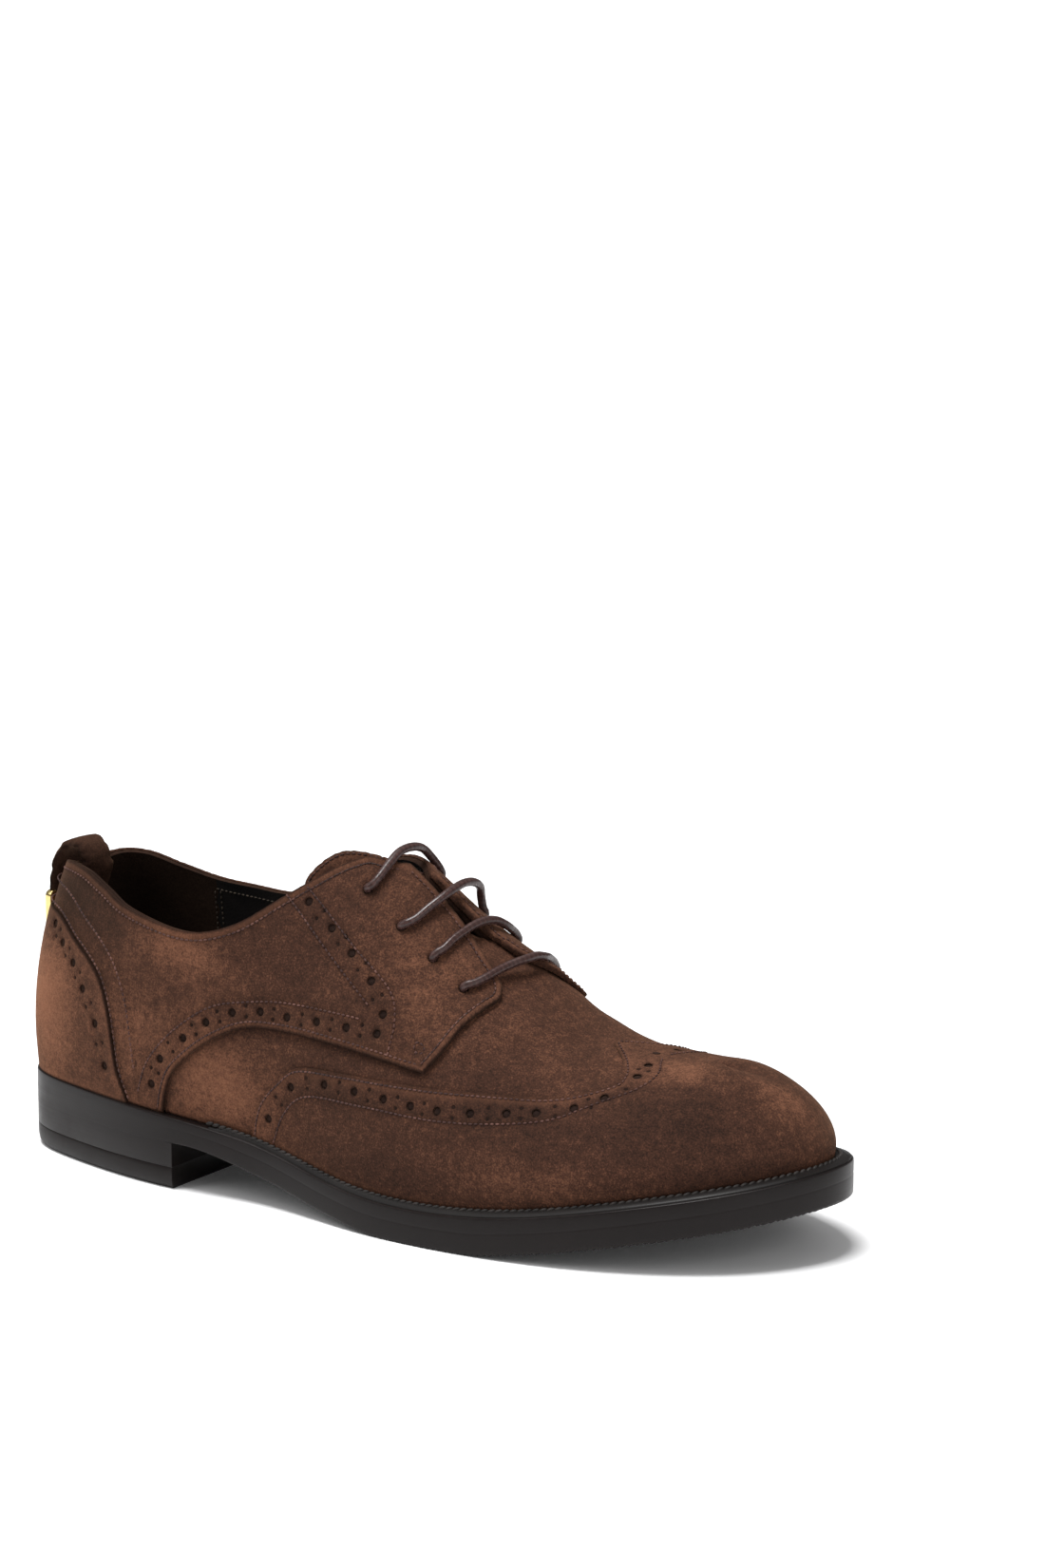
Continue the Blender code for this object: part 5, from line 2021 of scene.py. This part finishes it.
@dataclass
class Sewing:
    """Stitches, and dark needle pits and punched floors of painted shade, over the upper's panels."""

    last: Last
    seam: Stitch = Stitch(1.8, (0.68, 0.33, 0.28))
    pit: Stitch = Stitch(1.8, (0.4, 0.36, 0.12), 0.9)
    pit_depth: float = 0.12
    welt: Stitch = Stitch(2.5, (1.45, 0.62, 0.62), 0.0, 0.35)
    floor_sunk: tuple[float, float] = (0.78, 0.4)
    floor_grow: float = 0.15
    floor_depth: float = 0.2

    def _marks(self, name: str, points: Array, outward: Array, edges: Sequence[tuple[int, int]]) -> Object:
        """An object of bare points or lines, with the outward direction on each point.

        Args:
            name: The piece's name.
            points: The points.
            outward: Their outward directions.
            edges: The lines between them.

        Returns:
            The object.
        """
        mesh = bpy.data.meshes.new(name)
        mesh.from_pydata(self.last.world(points).tolist(), edges, [])
        item = in_scene(name, mesh)
        store(item, "outward", outward, "FLOAT_VECTOR")
        return item

    def runs(self, seams: Sequence[SeamLine], sunk: float = 0.0) -> list[Run]:
        """The seams' points, sunk a little, with their outward directions."""
        return [(self.last.lifted(seam.places, seam.lift - sunk), self.last.axes(*seam.places.T)[2])
                for seam in seams]

    def sew(self, name: str, runs: Sequence[Run], thread: Thread, tree: GeoTree, stitch: Stitch) -> Object:
        """Lay stitches along lines in space.

        Args:
            name: The piece's name.
            runs: The lines.
            thread: The stitches' finish.
            tree: The stitching tree.
            stitch: How they are sewn.

        Returns:
            The piece.
        """
        edges, start = [], 0
        for points, _ in runs:
            edges += [(start + i, start + i + 1) for i in range(len(points) - 1)]
            start += len(points)
        points, outward = (np.concatenate(part) for part in zip(*runs))
        item = self._marks(name, points, outward, edges)
        size = tuple(s * MM for s in stitch.size)
        tree.apply(item, {"Start": stitch.start * MM, "Pitch": stitch.pitch * MM, "Stitch": size,
                          "Slant": stitch.slant, "Finish": thread.material()})
        return item

    def floors(self, name: str, punches: Sequence[tuple[Punch, float]], tree: GeoTree) -> Object:
        """Put a dark floor of painted shade into every punched hole.

        Args:
            name: The piece's name.
            punches: The holes, and how far the panel's face stands off the last at each.
            tree: The punching tree.

        Returns:
            The piece.
        """
        places = np.array([punch.place for punch, _ in punches])
        radii = np.array([punch.radius for punch, _ in punches])
        lifts = np.array([lift for _, lift in punches]) - np.where(radii > LARGE_PUNCH, *self.floor_sunk)
        item = self._marks(name, self.last.lifted(places, lifts), self.last.axes(*places.T)[2], [])
        store(item, "width", (radii + self.floor_grow) * MM)
        tree.apply(item, {"Depth": self.floor_depth * MM, "Finish": PUNCH_SHADE.material()})
        return item


class RimRow(NamedTuple):
    """A ring of the sole's side: how far down it lies, how far out, and how far it drops besides."""

    depth: float
    out: float
    drop: float


@dataclass
class Sole:
    """Moulded sole with welt, heel and top lift, and the footbed inside."""

    last: Last
    heel_breast: float = 80.0
    top_lift: float = 7.3
    heel_seat: float = 15.5
    columns: int = 440
    serration_pitch: float = 2.3
    serration: float = 0.45
    tread_pitch: float = 4.6
    tread_groove: float = 0.35
    tread_depth: float = 0.8
    tread_from: float = 158.0
    tread_to: float = 284.0
    tread_shares: tuple[float, ...] = (0.06, 0.1, 0.13, 0.3, 0.5, 0.7, 0.87, 0.9, 0.94)
    welt_from: float = 33.0
    welt_height: float = 1.5
    footbed_wall: float = 2.5
    footbed_dish: float = 0.5
    sharp: float = 35.0
    rim: tuple[RimRow, ...] = rows(
        RimRow, (0.00, -1.1, 0.0), (0.00, -0.45, 0.08), (0.00, -0.12, 0.35), (0.00, 0.0, 0.9),
        (0.37, 0.0, 0.0), (0.39, -0.02, 0.0), (0.41, -0.06, 0.0), (0.43, -0.06, 0.0), (0.45, -0.02, 0.0),
        (0.47, 0.0, 0.0), (0.70, 0.0, 0.0), (0.90, 0.0, 0.0), (0.95, -0.06, 0.0), (0.98, -0.18, 0.0),
        (1.00, -0.5, 0.0))
    side_from: float = 0.3
    groove_from: float = 27.0
    groove_fade: float = 8.0
    forefoot_from: float = 150.0
    forefoot_fade: float = 30.0
    thread_place: tuple[float, float] = (0.35, 0.36)
    thread_height: float = 0.92
    thread_lean: float = 0.6

    def _outline(self, stations: Array, out: Any, share: float) -> Array:
        """A closed plan outline: lateral heel to toe, then medial toe to heel.

        Args:
            stations: Stations from heel to toe.
            out: How far outside the feather line it lies.
            share: What share of the ledge it lies outside as well.

        Returns:
            Rows of x and y.
        """
        out = np.broadcast_to(np.asarray(out, float), stations.shape)
        lateral = self.last.feather(-1, stations, out, share)
        medial = self.last.feather(1, stations[1:-1], out[1:-1], share)
        return np.concatenate([lateral, medial[::-1]])

    def outsole(self) -> Object:
        """The sole: ledge, grooved side, serrated lower edge, ribbed tread.

        Returns:
            The piece.
        """
        last = self.last
        stations = np.linspace(0, 100, self.columns)
        edge = self._outline(stations, 0.0, 1.0)
        forefoot = np.clip((edge[:, 0] - self.forefoot_from) / self.forefoot_fade, 0, 1)
        notch = 0.5 + 0.5 * np.sign(np.sin(2 * math.pi * run_lengths(edge) / self.serration_pitch))
        rings = [np.column_stack([self._outline(stations, -3.0, 0.0), last.sole_top(edge[:, 0])])]
        ahead = np.clip((stations - self.groove_from) / self.groove_fade, 0, 1)
        for row in self.rim:
            plan = self._outline(stations, row.out * ahead if row.depth > self.side_from else row.out, 1.0)
            top, bottom = last.sole_top(plan[:, 0]), last.sole_bottom(plan[:, 0])
            bite = np.clip((row.depth - 0.9) / 0.1, 0, 1) * self.serration * notch * forefoot
            rings.append(np.column_stack([plan, top + (bottom - top) * row.depth - row.drop + bite]))
        count = len(edge)
        points = np.concatenate(rings)
        tread, tread_faces = spanned(rings[-1], len(points) - count, len(points), self.tread_shares,
                                     self._tread_height, False)
        faces = band(len(rings), count) + lid(range(count), True) + tread_faces
        item = new_object("outsole_rubber", last.world(np.concatenate([points, tread])), faces,
                          [SOLE_RUBBER.material()], self.sharp)
        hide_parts("outsole")
        return item

    def _tread_height(self, place: Array, share: float) -> float:
        """Height of the ribbed underside.

        Args:
            place: A point of the underside.
            share: Where it lies across the sole.

        Returns:
            Its z.
        """
        inner = 0.1 < share < 0.9 and self.tread_from < place[0] < self.tread_to
        cut = inner and (place[0] / self.tread_pitch) % 1.0 < self.tread_groove
        return float(self.last.sole_bottom(place[0])) + (self.tread_depth if cut else 0.0)

    def _heel_plan(self, inset: float) -> Array:
        """The sole's outline behind the heel breast, square at the breast.

        Args:
            inset: How far inside the sole's edge it lies.

        Returns:
            Rows of x and y, out on the lateral side and back on the medial.
        """
        stations = np.linspace(0, 32, 130)
        halves = []
        for sign in (-1, 1):
            plan = self.last.feather(sign, stations, -inset, 1.0)
            halves.append(plan[plan[:, 0] < self.heel_breast - 1.0])
        count = min(len(half) for half in halves)
        runs = []
        for half in halves:
            half = half[:count]
            slope = (half[-1] - half[-4]) / (half[-1, 0] - half[-4, 0])
            runs.append(np.concatenate([half, [half[-1] + slope * (self.heel_breast - half[-1, 0])]]))
        return np.concatenate([runs[0], runs[1][:0:-1]])

    def _slab(self, name: str, node: str, levels: Sequence[Place], rubber: Rubber) -> Object:
        """A layer of the heel.

        Args:
            name: The piece's name.
            node: The node it stands for.
            levels: Rows of height and inset, top first.
            rubber: Its finish.

        Returns:
            The piece.
        """
        rings = []
        for height, inset in levels:
            plan = self._heel_plan(inset)
            plan[:, 0] = np.minimum(plan[:, 0], self.heel_breast - 0.4 * inset)
            rings.append(np.column_stack([plan, np.full(len(plan), height)]))
        count = len(rings[0])
        faces = band(len(rings), count) + lid(range(count), True)
        faces += lid(range((len(rings) - 1) * count, len(rings) * count), False)
        points = self.last.world(np.concatenate(rings))
        item = new_object(name, points, faces, [rubber.material()], self.sharp)
        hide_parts(node)
        return item

    def heel(self) -> list[Object]:
        """Heel block and its top lift.

        Returns:
            The two pieces.
        """
        seat, low = self.heel_seat, self.top_lift
        block = ((seat - 0.02, 0.03), (seat - 1.0, 0.0), (low + 0.4, 0.0), (low + 0.06, 0.15))
        lift = ((low, 0.2), (low - 0.3, 0.02), (3.4, 0.05), (1.6, 0.35), (0.6, 0.9), (0.0, 1.7))
        return [
            self._slab("heel_block_rubber", "heel_block", block, SOLE_RUBBER),
            self._slab("top_lift_rubber", "heel_top_lift", lift, LIFT_RUBBER),
        ]

    def welt(self) -> tuple[Object, list[Run]]:
        """The welt's bed on the sole's ledge, and the lines its stitches follow.

        Returns:
            The bed and the lines.
        """
        last, stations = self.last, np.linspace(self.welt_from, 100, 170)
        taper = np.clip((np.concatenate([stations, stations[-2::-1]]) - self.welt_from) / 2.0, 0.25, 1)
        profile = ((-0.7, 1.0, 0.02), (-0.9, 1.0, 0.3), (0.0, 0.62, 0.75), (0.7, 0.3, 0.98), (1.0, 0.12, 1.0),
                   (0.5, 0.0, 0.9), (0.5, 0.0, 0.05))
        rings = []
        for out, share, height in profile:
            medial = last.feather(1, stations[:-1], out, share)
            plan = np.concatenate([last.feather(-1, stations, out, share), medial[::-1]])
            top = last.sole_top(plan[:, 0])
            rings.append(np.column_stack([plan, top + height * self.welt_height * taper]))
        item = loft("welt_strip", last.world(np.array(rings).transpose(1, 0, 2)), WELT_BED.material())
        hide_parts("welt")
        runs = []
        for sign in (-1, 1):
            plan = last.feather(sign, stations, *self.thread_place)
            height = last.sole_top(plan[:, 0]) + self.welt_height * self.thread_height
            outward = last.feather(sign, stations, 1.0) - last.feather(sign, stations)
            lean = unit(np.column_stack([outward * self.thread_lean, np.ones(len(plan))]))
            runs.append((np.column_stack([plan, height]), lean))
        return item, runs

    def footbed(self) -> Object:
        """The footbed, dished a little across.

        Returns:
            The piece.
        """
        stations = np.linspace(0, 100, 150)
        rings = []
        for inset, rise in ((2.6, 0.3), (2.4, 1.8), (2.7, 2.4), (3.6, self.footbed_wall + 0.3)):
            plan = self._outline(stations, -inset, 0.0)
            rings.append(np.column_stack([plan, self.last.sole_top(plan[:, 0]) + rise]))
        count = len(rings[0])
        points = np.concatenate(rings)

        def dish(place: Array, share: float) -> float:
            """Height of the footbed's top."""
            return place[2] - self.footbed_dish * math.sin(math.pi * share)

        shares = np.linspace(0, 1, 13)[1:-1]
        top, top_faces = spanned(rings[-1], len(points) - count, len(points), shares, dish, True)
        faces = [f[::-1] for f in band(len(rings), count)] + lid(range(count), False) + top_faces
        item = new_object("footbed_leather", self.last.world(np.concatenate([points, top])), faces,
                          [FOOTBED.material()])
        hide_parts("insole")
        return item


def tube(name: str, path: Array, radius: float, sides: int, finish: Material) -> Object:
    """A round cord along a path, with a map that runs along it and round it.

    Args:
        name: The piece's name.
        path: Its middle line, in metres.
        radius: Its radius, in metres.
        sides: How many sides it has.
        finish: Its material.

    Returns:
        The piece.
    """
    heading = unit(np.gradient(path, axis=0))
    beside = np.zeros_like(path)
    beside[0] = unit(np.cross(heading[0], (0.0, 0.0, 1.0)))
    for i in range(1, len(path)):
        beside[i] = unit(beside[i - 1] - heading[i] * np.dot(beside[i - 1], heading[i]))
    over = np.cross(heading, beside)
    angles = np.linspace(0, 2 * math.pi, sides, endpoint=False)[None, :, None]
    rings = path[:, None] + radius * (np.cos(angles) * beside[:, None] + np.sin(angles) * over[:, None])
    count = len(path)
    faces, maps = [], []
    length = run_lengths(path) / MM
    for i in range(count - 1):
        for j in range(sides):
            k = (j + 1) % sides
            faces.append((i * sides + j, i * sides + k, (i + 1) * sides + k, (i + 1) * sides + j))
            u0, u1, v0, v1 = length[i], length[i + 1], j / sides, (j + 1) / sides
            maps += [(u0, v0), (u0, v1), (u1, v1), (u1, v0)]
    faces += [tuple(range(sides))[::-1], tuple(range((count - 1) * sides, count * sides))]
    maps += [(0.0, 0.0)] * (2 * sides)
    item = new_object(name, rings.reshape(-1, 3), faces, [finish], 70.0)
    layer = item.data.uv_layers.new(name="run")
    layer.data.foreach_set("uv", np.array(maps, np.float32).ravel())
    return item


# A stop of the lace: station, turn and how far it stands off the last
Stop = Triple


@dataclass
class Lacing:
    """One round lace in straight bars, run through the eyelets and hidden between facing and tongue."""

    last: Last
    radius: float = 1.4
    sides: int = 14
    bars: tuple[tuple[Stop, ...], ...] = (
        ((48.25, -28.0, 2.6), (48.55, -23.6, 2.75), (48.7, -16.75, 2.75), (48.75, -8.0, 2.75),
         (48.95, 0.0, 2.9), (49.05, 10.6, 3.1), (49.4, 16.0, 3.0), (49.9, 20.5, 2.75), (50.15, 23.0, 2.4)),
        ((52.5, -28.8, 2.6), (53.0, -25.25, 2.75), (53.4, -19.1, 3.0), (53.75, -12.1, 4.2),
         (53.9, -4.25, 5.4), (53.95, 2.6, 6.5), (54.05, 9.6, 7.0), (54.1, 16.5, 6.6),
         (54.2, 20.5, 4.9), (54.7, 23.2, 2.6)),
        ((55.95, -28.6, 2.6), (56.3, -25.4, 2.75), (56.55, -19.4, 2.75), (56.85, -12.5, 3.0),
         (57.1, -6.0, 3.7), (57.4, 0.0, 4.2), (57.8, 5.6, 4.2), (58.25, 10.5, 3.6),
         (58.4, 16.5, 2.9), (58.45, 22.5, 2.6)),
        ((59.6, -28.9, 2.6), (60.05, -26.5, 2.75), (60.55, -21.5, 2.75), (60.95, -15.1, 2.75),
         (61.4, -7.5, 3.0), (61.95, -0.4, 4.0), (62.35, 5.9, 4.2), (62.6, 10.7, 3.6),
         (62.5, 16.5, 2.9), (62.4, 23.0, 2.6)),
    )
    ends: tuple[float, ...] = (-1.4, 0.5, 1.9)
    hidden: float = -3.1
    outer: float = 4.5
    spacing: float = 0.8
    length_mm: float = 0.0

    def _stops(self) -> Array:
        """The lace's route from its hidden start to its hidden end.

        Returns:
            Rows of station, turn and distance off the last.
        """
        holes = {side: sided(EYELETS[side], side) for side in Side}
        side = Side.MEDIAL
        start, low = holes[side][0], holes[side][-1]
        stops = [(start[0] + 1.4, start[1] + self.outer, self.hidden)]
        for share in (0.3, 0.6, 0.85):
            between = start * (1 - share) + low * share
            stops.append((between[0], between[1] + self.outer * (1 - share), self.hidden))
        for index in range(len(self.bars) - 1, -1, -1):
            bar = [(*holes[Side.LATERAL][index], lift) for lift in self.ends]
            bar += self.bars[index]
            bar += [(*holes[Side.MEDIAL][index], lift) for lift in self.ends[::-1]]
            stops += bar if side is Side.LATERAL else bar[::-1]
            side = Side.LATERAL if side is Side.MEDIAL else Side.MEDIAL
            if index > 0:
                here, there = holes[side][index], holes[side][index - 1]
                stops += [(*(here * (1 - share) + there * share), self.hidden) for share in (0.3, 0.7)]
        end = holes[side][0]
        return np.array(stops + [(end[0] - 0.8, end[1] - 1.0, self.hidden)])

    def build(self) -> Object:
        """Lay the lace along its route.

        Returns:
            The piece.
        """
        stops = self._stops()
        smooth = flowing(self.last.lifted(stops[:, :2], stops[:, 2]), 20)
        lengths = run_lengths(smooth)
        self.length_mm = float(lengths[-1])
        path = self.last.world(spaced(smooth, lengths, self.spacing))
        item = tube("lace", path, self.radius * MM, self.sides, LACE.material())
        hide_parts("lace_bar_1", "lace_bar_2", "lace_bar_3", "lace_bar_4")
        return item


@dataclass
class PullLoop:
    """Suede strap from inside the collar over the back seam, with a plain gold bar on its end."""

    last: Last
    path: tuple[tuple[float, float], ...] = (
        (-0.7, -12.0), (-3.0, -6.0), (-4.2, -1.5), (-3.6, 3.4), (-0.4, 6.9),
        (5.2, 6.4), (10.2, 1.4), (12.6, -5.5), (12.9, -13.0),
    )
    width: float = 13.0
    wall: float = 2.8
    cup: float = 0.5
    squareness: int = 14
    edge_shade_reach: float = 0.8
    bar_width: float = 15.0
    bar_height: float = 13.0
    bar_wall: float = 3.0
    bar_overlap: float = 2.7
    bar_corner: float = 2.2
    bar_layers: tuple[tuple[float, float], ...] = (
        (0.5, 0.5), (0.42, 0.12), (0.3, 0.0), (-0.3, 0.0), (-0.42, 0.12), (-0.5, 0.5))
    collar_climb: float = 50.5

    def _place(self, out: float, side: float, up: float) -> Array:
        """A point by the top of the back seam.

        Args:
            out: How far straight back it lies.
            side: How far across.
            up: How far up.

        Returns:
            The point.
        """
        last = self.last
        top = last.face(0.0, -(100.0 - self.collar_climb))
        heel, spine_x = last.heel_back, last.spine_rows[0].x
        away = unit(np.array([heel[0] - spine_x, heel[1] - last.spine_y, 0.0]))
        return top + away * out + np.array([-away[1], away[0], 0.0]) * side + np.array([0.0, 0.0, up])

    def _profile(self) -> list[tuple[float, float]]:
        """The strap's section with rounded edges.

        Returns:
            Where each point lies across the width and through the wall, in shares of them.
        """
        wide = np.linspace(-0.5, 0.5, 10)
        thick = [0.5 * math.sqrt(max(0.0, 1 - (2 * abs(w)) ** self.squareness)) for w in wide]
        over = list(zip(wide, thick))
        return over + [(w, -t - 0.02) for w, t in over[::-1]]

    def strap(self) -> Object:
        """The strap, with rounded edges darkened as cut edges and with painted shade, uneven width and a
        slight ripple that fades towards its end.

        Returns:
            The piece.
        """
        ends = len(self.path) - 1
        at = np.linspace(0, ends, 70)
        middle = smooth_curve(np.arange(ends + 1), np.array(self.path))(at)
        heading = unit(np.gradient(middle, axis=0))
        normal = np.stack([-heading[:, 1], heading[:, 0]], -1)
        profile = self._profile()
        rings = []
        for t, center, out in zip(at, middle, normal):
            ripple = 0.5 * math.sin(t * 2.3) + 0.3 * math.sin(t * 5.1 + 1.0)
            ripple *= min(1.0, (ends - t) / 6)
            broad = self.width * (1 + 0.035 * math.sin(t * 6.3) + 0.03 * math.sin(t * 10.7 + 2.0))
            row = []
            for wide, thick in profile:
                cup = self.cup * (2 * wide) ** 2 * math.sin(math.pi * t / ends)
                flat = center + out * (thick * self.wall + ripple * 2 * wide - cup)
                row.append(self._place(flat[0], wide * broad, flat[1]))
            rings.append(row)
        item = loft("pull_loop_suede", self.last.world(np.array(rings)), DARK_SUEDE.material())
        # Dark cut edges and painted shade, darker towards the strap's edges
        edge = [math.exp(-(0.5 - abs(w)) * self.width / self.edge_shade_reach) for w, _ in profile]
        store(item, "rim", np.tile(edge, len(rings)))
        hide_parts("pull_loop")
        return item

    def bar(self) -> Object:
        """The gold bar: a rounded plate with softened edges.

        Returns:
            The piece.
        """
        out, up = self.path[-1]
        radius, corner_steps = self.bar_corner, 6
        middle_up = up + self.bar_overlap - self.bar_height / 2
        rings = []
        for depth, inset in self.bar_layers:
            row = []
            for turn, (wide, tall) in enumerate(((0.5, 0.5), (-0.5, 0.5), (-0.5, -0.5), (0.5, -0.5))):
                for step in range(corner_steps + 1):
                    angle = math.radians(90 * turn + 90 * step / corner_steps)
                    reach = radius - inset
                    side = wide * self.bar_width - math.copysign(radius, wide) + reach * math.cos(angle)
                    rise = tall * self.bar_height - math.copysign(radius, tall) + reach * math.sin(angle)
                    row.append(self._place(out + depth * self.bar_wall, side, middle_up + rise))
            rings.append(row)
        item = loft("loop_bar_gold", self.last.world(np.array(rings)), GOLD.material(), 30.0)
        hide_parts("loop_bar")
        return item


class Lamp(NamedTuple):
    """A light: name, kind, place, size (an angle in degrees for a sun) and power."""

    name: str
    kind: str
    place: Triple
    size: float
    power: float


@dataclass
class Studio:
    """Camera, soft light and a plain pale floor."""

    last: Last
    azimuth: float = 33.0
    elevation: float = 14.0
    distance: float = 1512.0
    lens: float = 108.0
    aim: Triple = (150.0, 0.0, 45.0)
    pixel: tuple[float, float] = (442.0, 1112.0)
    image: tuple[float, float] = (1100.0, 1650.0)
    sensor: float = 36.0
    lamps: tuple[Lamp, ...] = rows(
        Lamp, ("ceiling", "SUN", (-0.12, -0.1, 0.99), 26.0, 3.7),
        ("key", "AREA", (-0.9, -1.0, 1.1), 1.0, 6.0), ("side", "AREA", (1.25, -0.4, 0.6), 0.8, 3.5))
    room_low: float = 0.16
    room_power: float = 0.48
    floor_reach: float = 40.0

    @staticmethod
    def _turn(item: Object, place: Sequence[float], back: Array) -> None:
        """Place an upright camera or light.

        Args:
            item: Its object.
            place: Where it stands, in metres.
            back: The direction behind it.
        """
        right = unit(np.cross((0.0, 0.0, 1.0), back))
        turn = Matrix(np.column_stack([right, np.cross(back, right), back]).tolist())
        item.matrix_world = Matrix.Translation(place) @ turn.to_4x4()

    def camera(self) -> None:
        """Set the camera at the photograph's angle, turned so that its aim falls on the pixel."""
        azimuth, elevation = math.radians(self.azimuth), math.radians(self.elevation)
        back = np.array([math.sin(azimuth) * math.cos(elevation), -math.cos(azimuth) * math.cos(elevation),
                         math.sin(elevation)])
        place = np.array(self.aim) + back * self.distance
        focal = self.lens / self.sensor * max(self.image)
        right_by = (self.pixel[0] - self.image[0] / 2) / focal
        down_by = (self.pixel[1] - self.image[1] / 2) / focal
        ahead = -back
        for _ in range(30):
            right = unit(np.cross(ahead, (0.0, 0.0, 1.0)))
            up = np.cross(right, ahead)
            wanted = unit(ahead + right * right_by - up * down_by)
            ahead = unit(ahead - back - wanted)
        data = bpy.data.cameras.new("camera")
        data.lens = self.lens
        data.sensor_width = self.sensor
        data.sensor_fit = "AUTO"
        data.clip_end = 100.0
        item = in_scene("camera", data)
        self._turn(item, self.last.world(place).tolist(), -ahead)
        bpy.context.scene.camera = item

    def light(self) -> None:
        """A soft ceiling light, with soft boxes in front and at the side, in a room that is paler above."""
        for lamp in self.lamps:
            data = bpy.data.lights.new(lamp.name, lamp.kind)
            if lamp.kind == "SUN":
                data.angle = math.radians(lamp.size)
            else:
                data.size = lamp.size
            data.energy = lamp.power
            self._turn(in_scene(lamp.name, data), lamp.place, unit(np.array(lamp.place)))
        world = bpy.data.worlds.new("room")
        world.use_nodes = True
        web = Web(world.node_tree)
        way = web.node("ShaderNodeTexCoord", out="Generated")
        height = web.node("ShaderNodeSeparateXYZ", None, {0: way}, "Z")
        stops = [(0.0, (self.room_low,) * 3), (1.0, (1.0, 1.0, 1.0))]
        sky = world.node_tree.nodes["Background"]
        web.feed(sky.inputs["Color"], web.node("ShaderNodeValToRGB", {"stops": stops}, {0: height}))
        web.feed(sky.inputs["Strength"], self.room_power)
        bpy.context.scene.world = world
        bpy.context.scene.view_settings.view_transform = "Standard"

    def floor(self) -> None:
        """A wide flat floor that fills the view."""
        corners = ((-1, -1, 0), (1, -1, 0), (1, 1, 0), (-1, 1, 0))
        item = new_object("floor", np.array(corners) * self.floor_reach, [(0, 1, 2, 3)], [FLOOR.material()])


def seat(item: Object) -> None:
    """Let a piece ride on the shoe and report it.

    Args:
        item: The piece.
    """
    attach(item, BODY)
    LOG.info("%s: %d faces", item.name, len(item.data.polygons))


def main() -> None:
    """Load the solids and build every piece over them."""
    logging.basicConfig(level=logging.INFO, format="%(message)s")
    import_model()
    last = Last()
    sole = Sole(last)
    edge = last.feather(-1, np.linspace(0, 100, 400), 0.0, 1.0)
    lift_high, sole_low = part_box("heel_top_lift")[1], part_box("outsole")[0]
    last.shift = np.array([lift_high.x / MM - sole.heel_breast, sole_low.y / MM - edge[:, 1].min(), 0.0])
    upper = Upper(last)
    pieces = upper.build()
    pieces.append(sole.outsole())
    pieces += sole.heel()
    welt, welt_runs = sole.welt()
    pieces += [welt, sole.footbed()]
    lacing = Lacing(last)
    pieces.append(lacing.build())
    LOG.info("lace length %.0f mm", lacing.length_mm)
    loop = PullLoop(last)
    pieces += [loop.strap(), loop.bar()]
    sewing, tree = Sewing(last), stitching_tree()
    seams, pits = sewing.runs(upper.seams), sewing.runs(upper.seams, sewing.pit_depth)
    pale = sewing.runs(upper.pale_seams)
    pieces += [
        sewing.sew("upper_stitching", seams, THREAD, tree, sewing.seam),
        sewing.sew("lining_stitching", pale, PALE_THREAD, tree, sewing.seam),
        # Dark grains of painted shade at the needle holes
        sewing.sew("needle_pit_shade", pits, NEEDLE_PIT_SHADE, tree, sewing.pit),
        sewing.sew("welt_stitching", welt_runs, WELT_THREAD, tree, sewing.welt),
        sewing.floors("punched_floor_shade", upper.punches, punching_tree()),
    ]
    for item in pieces:
        seat(item)
    studio = Studio(last)
    studio.floor()
    studio.light()
    studio.camera()


if __name__ == "__main__":
    main()
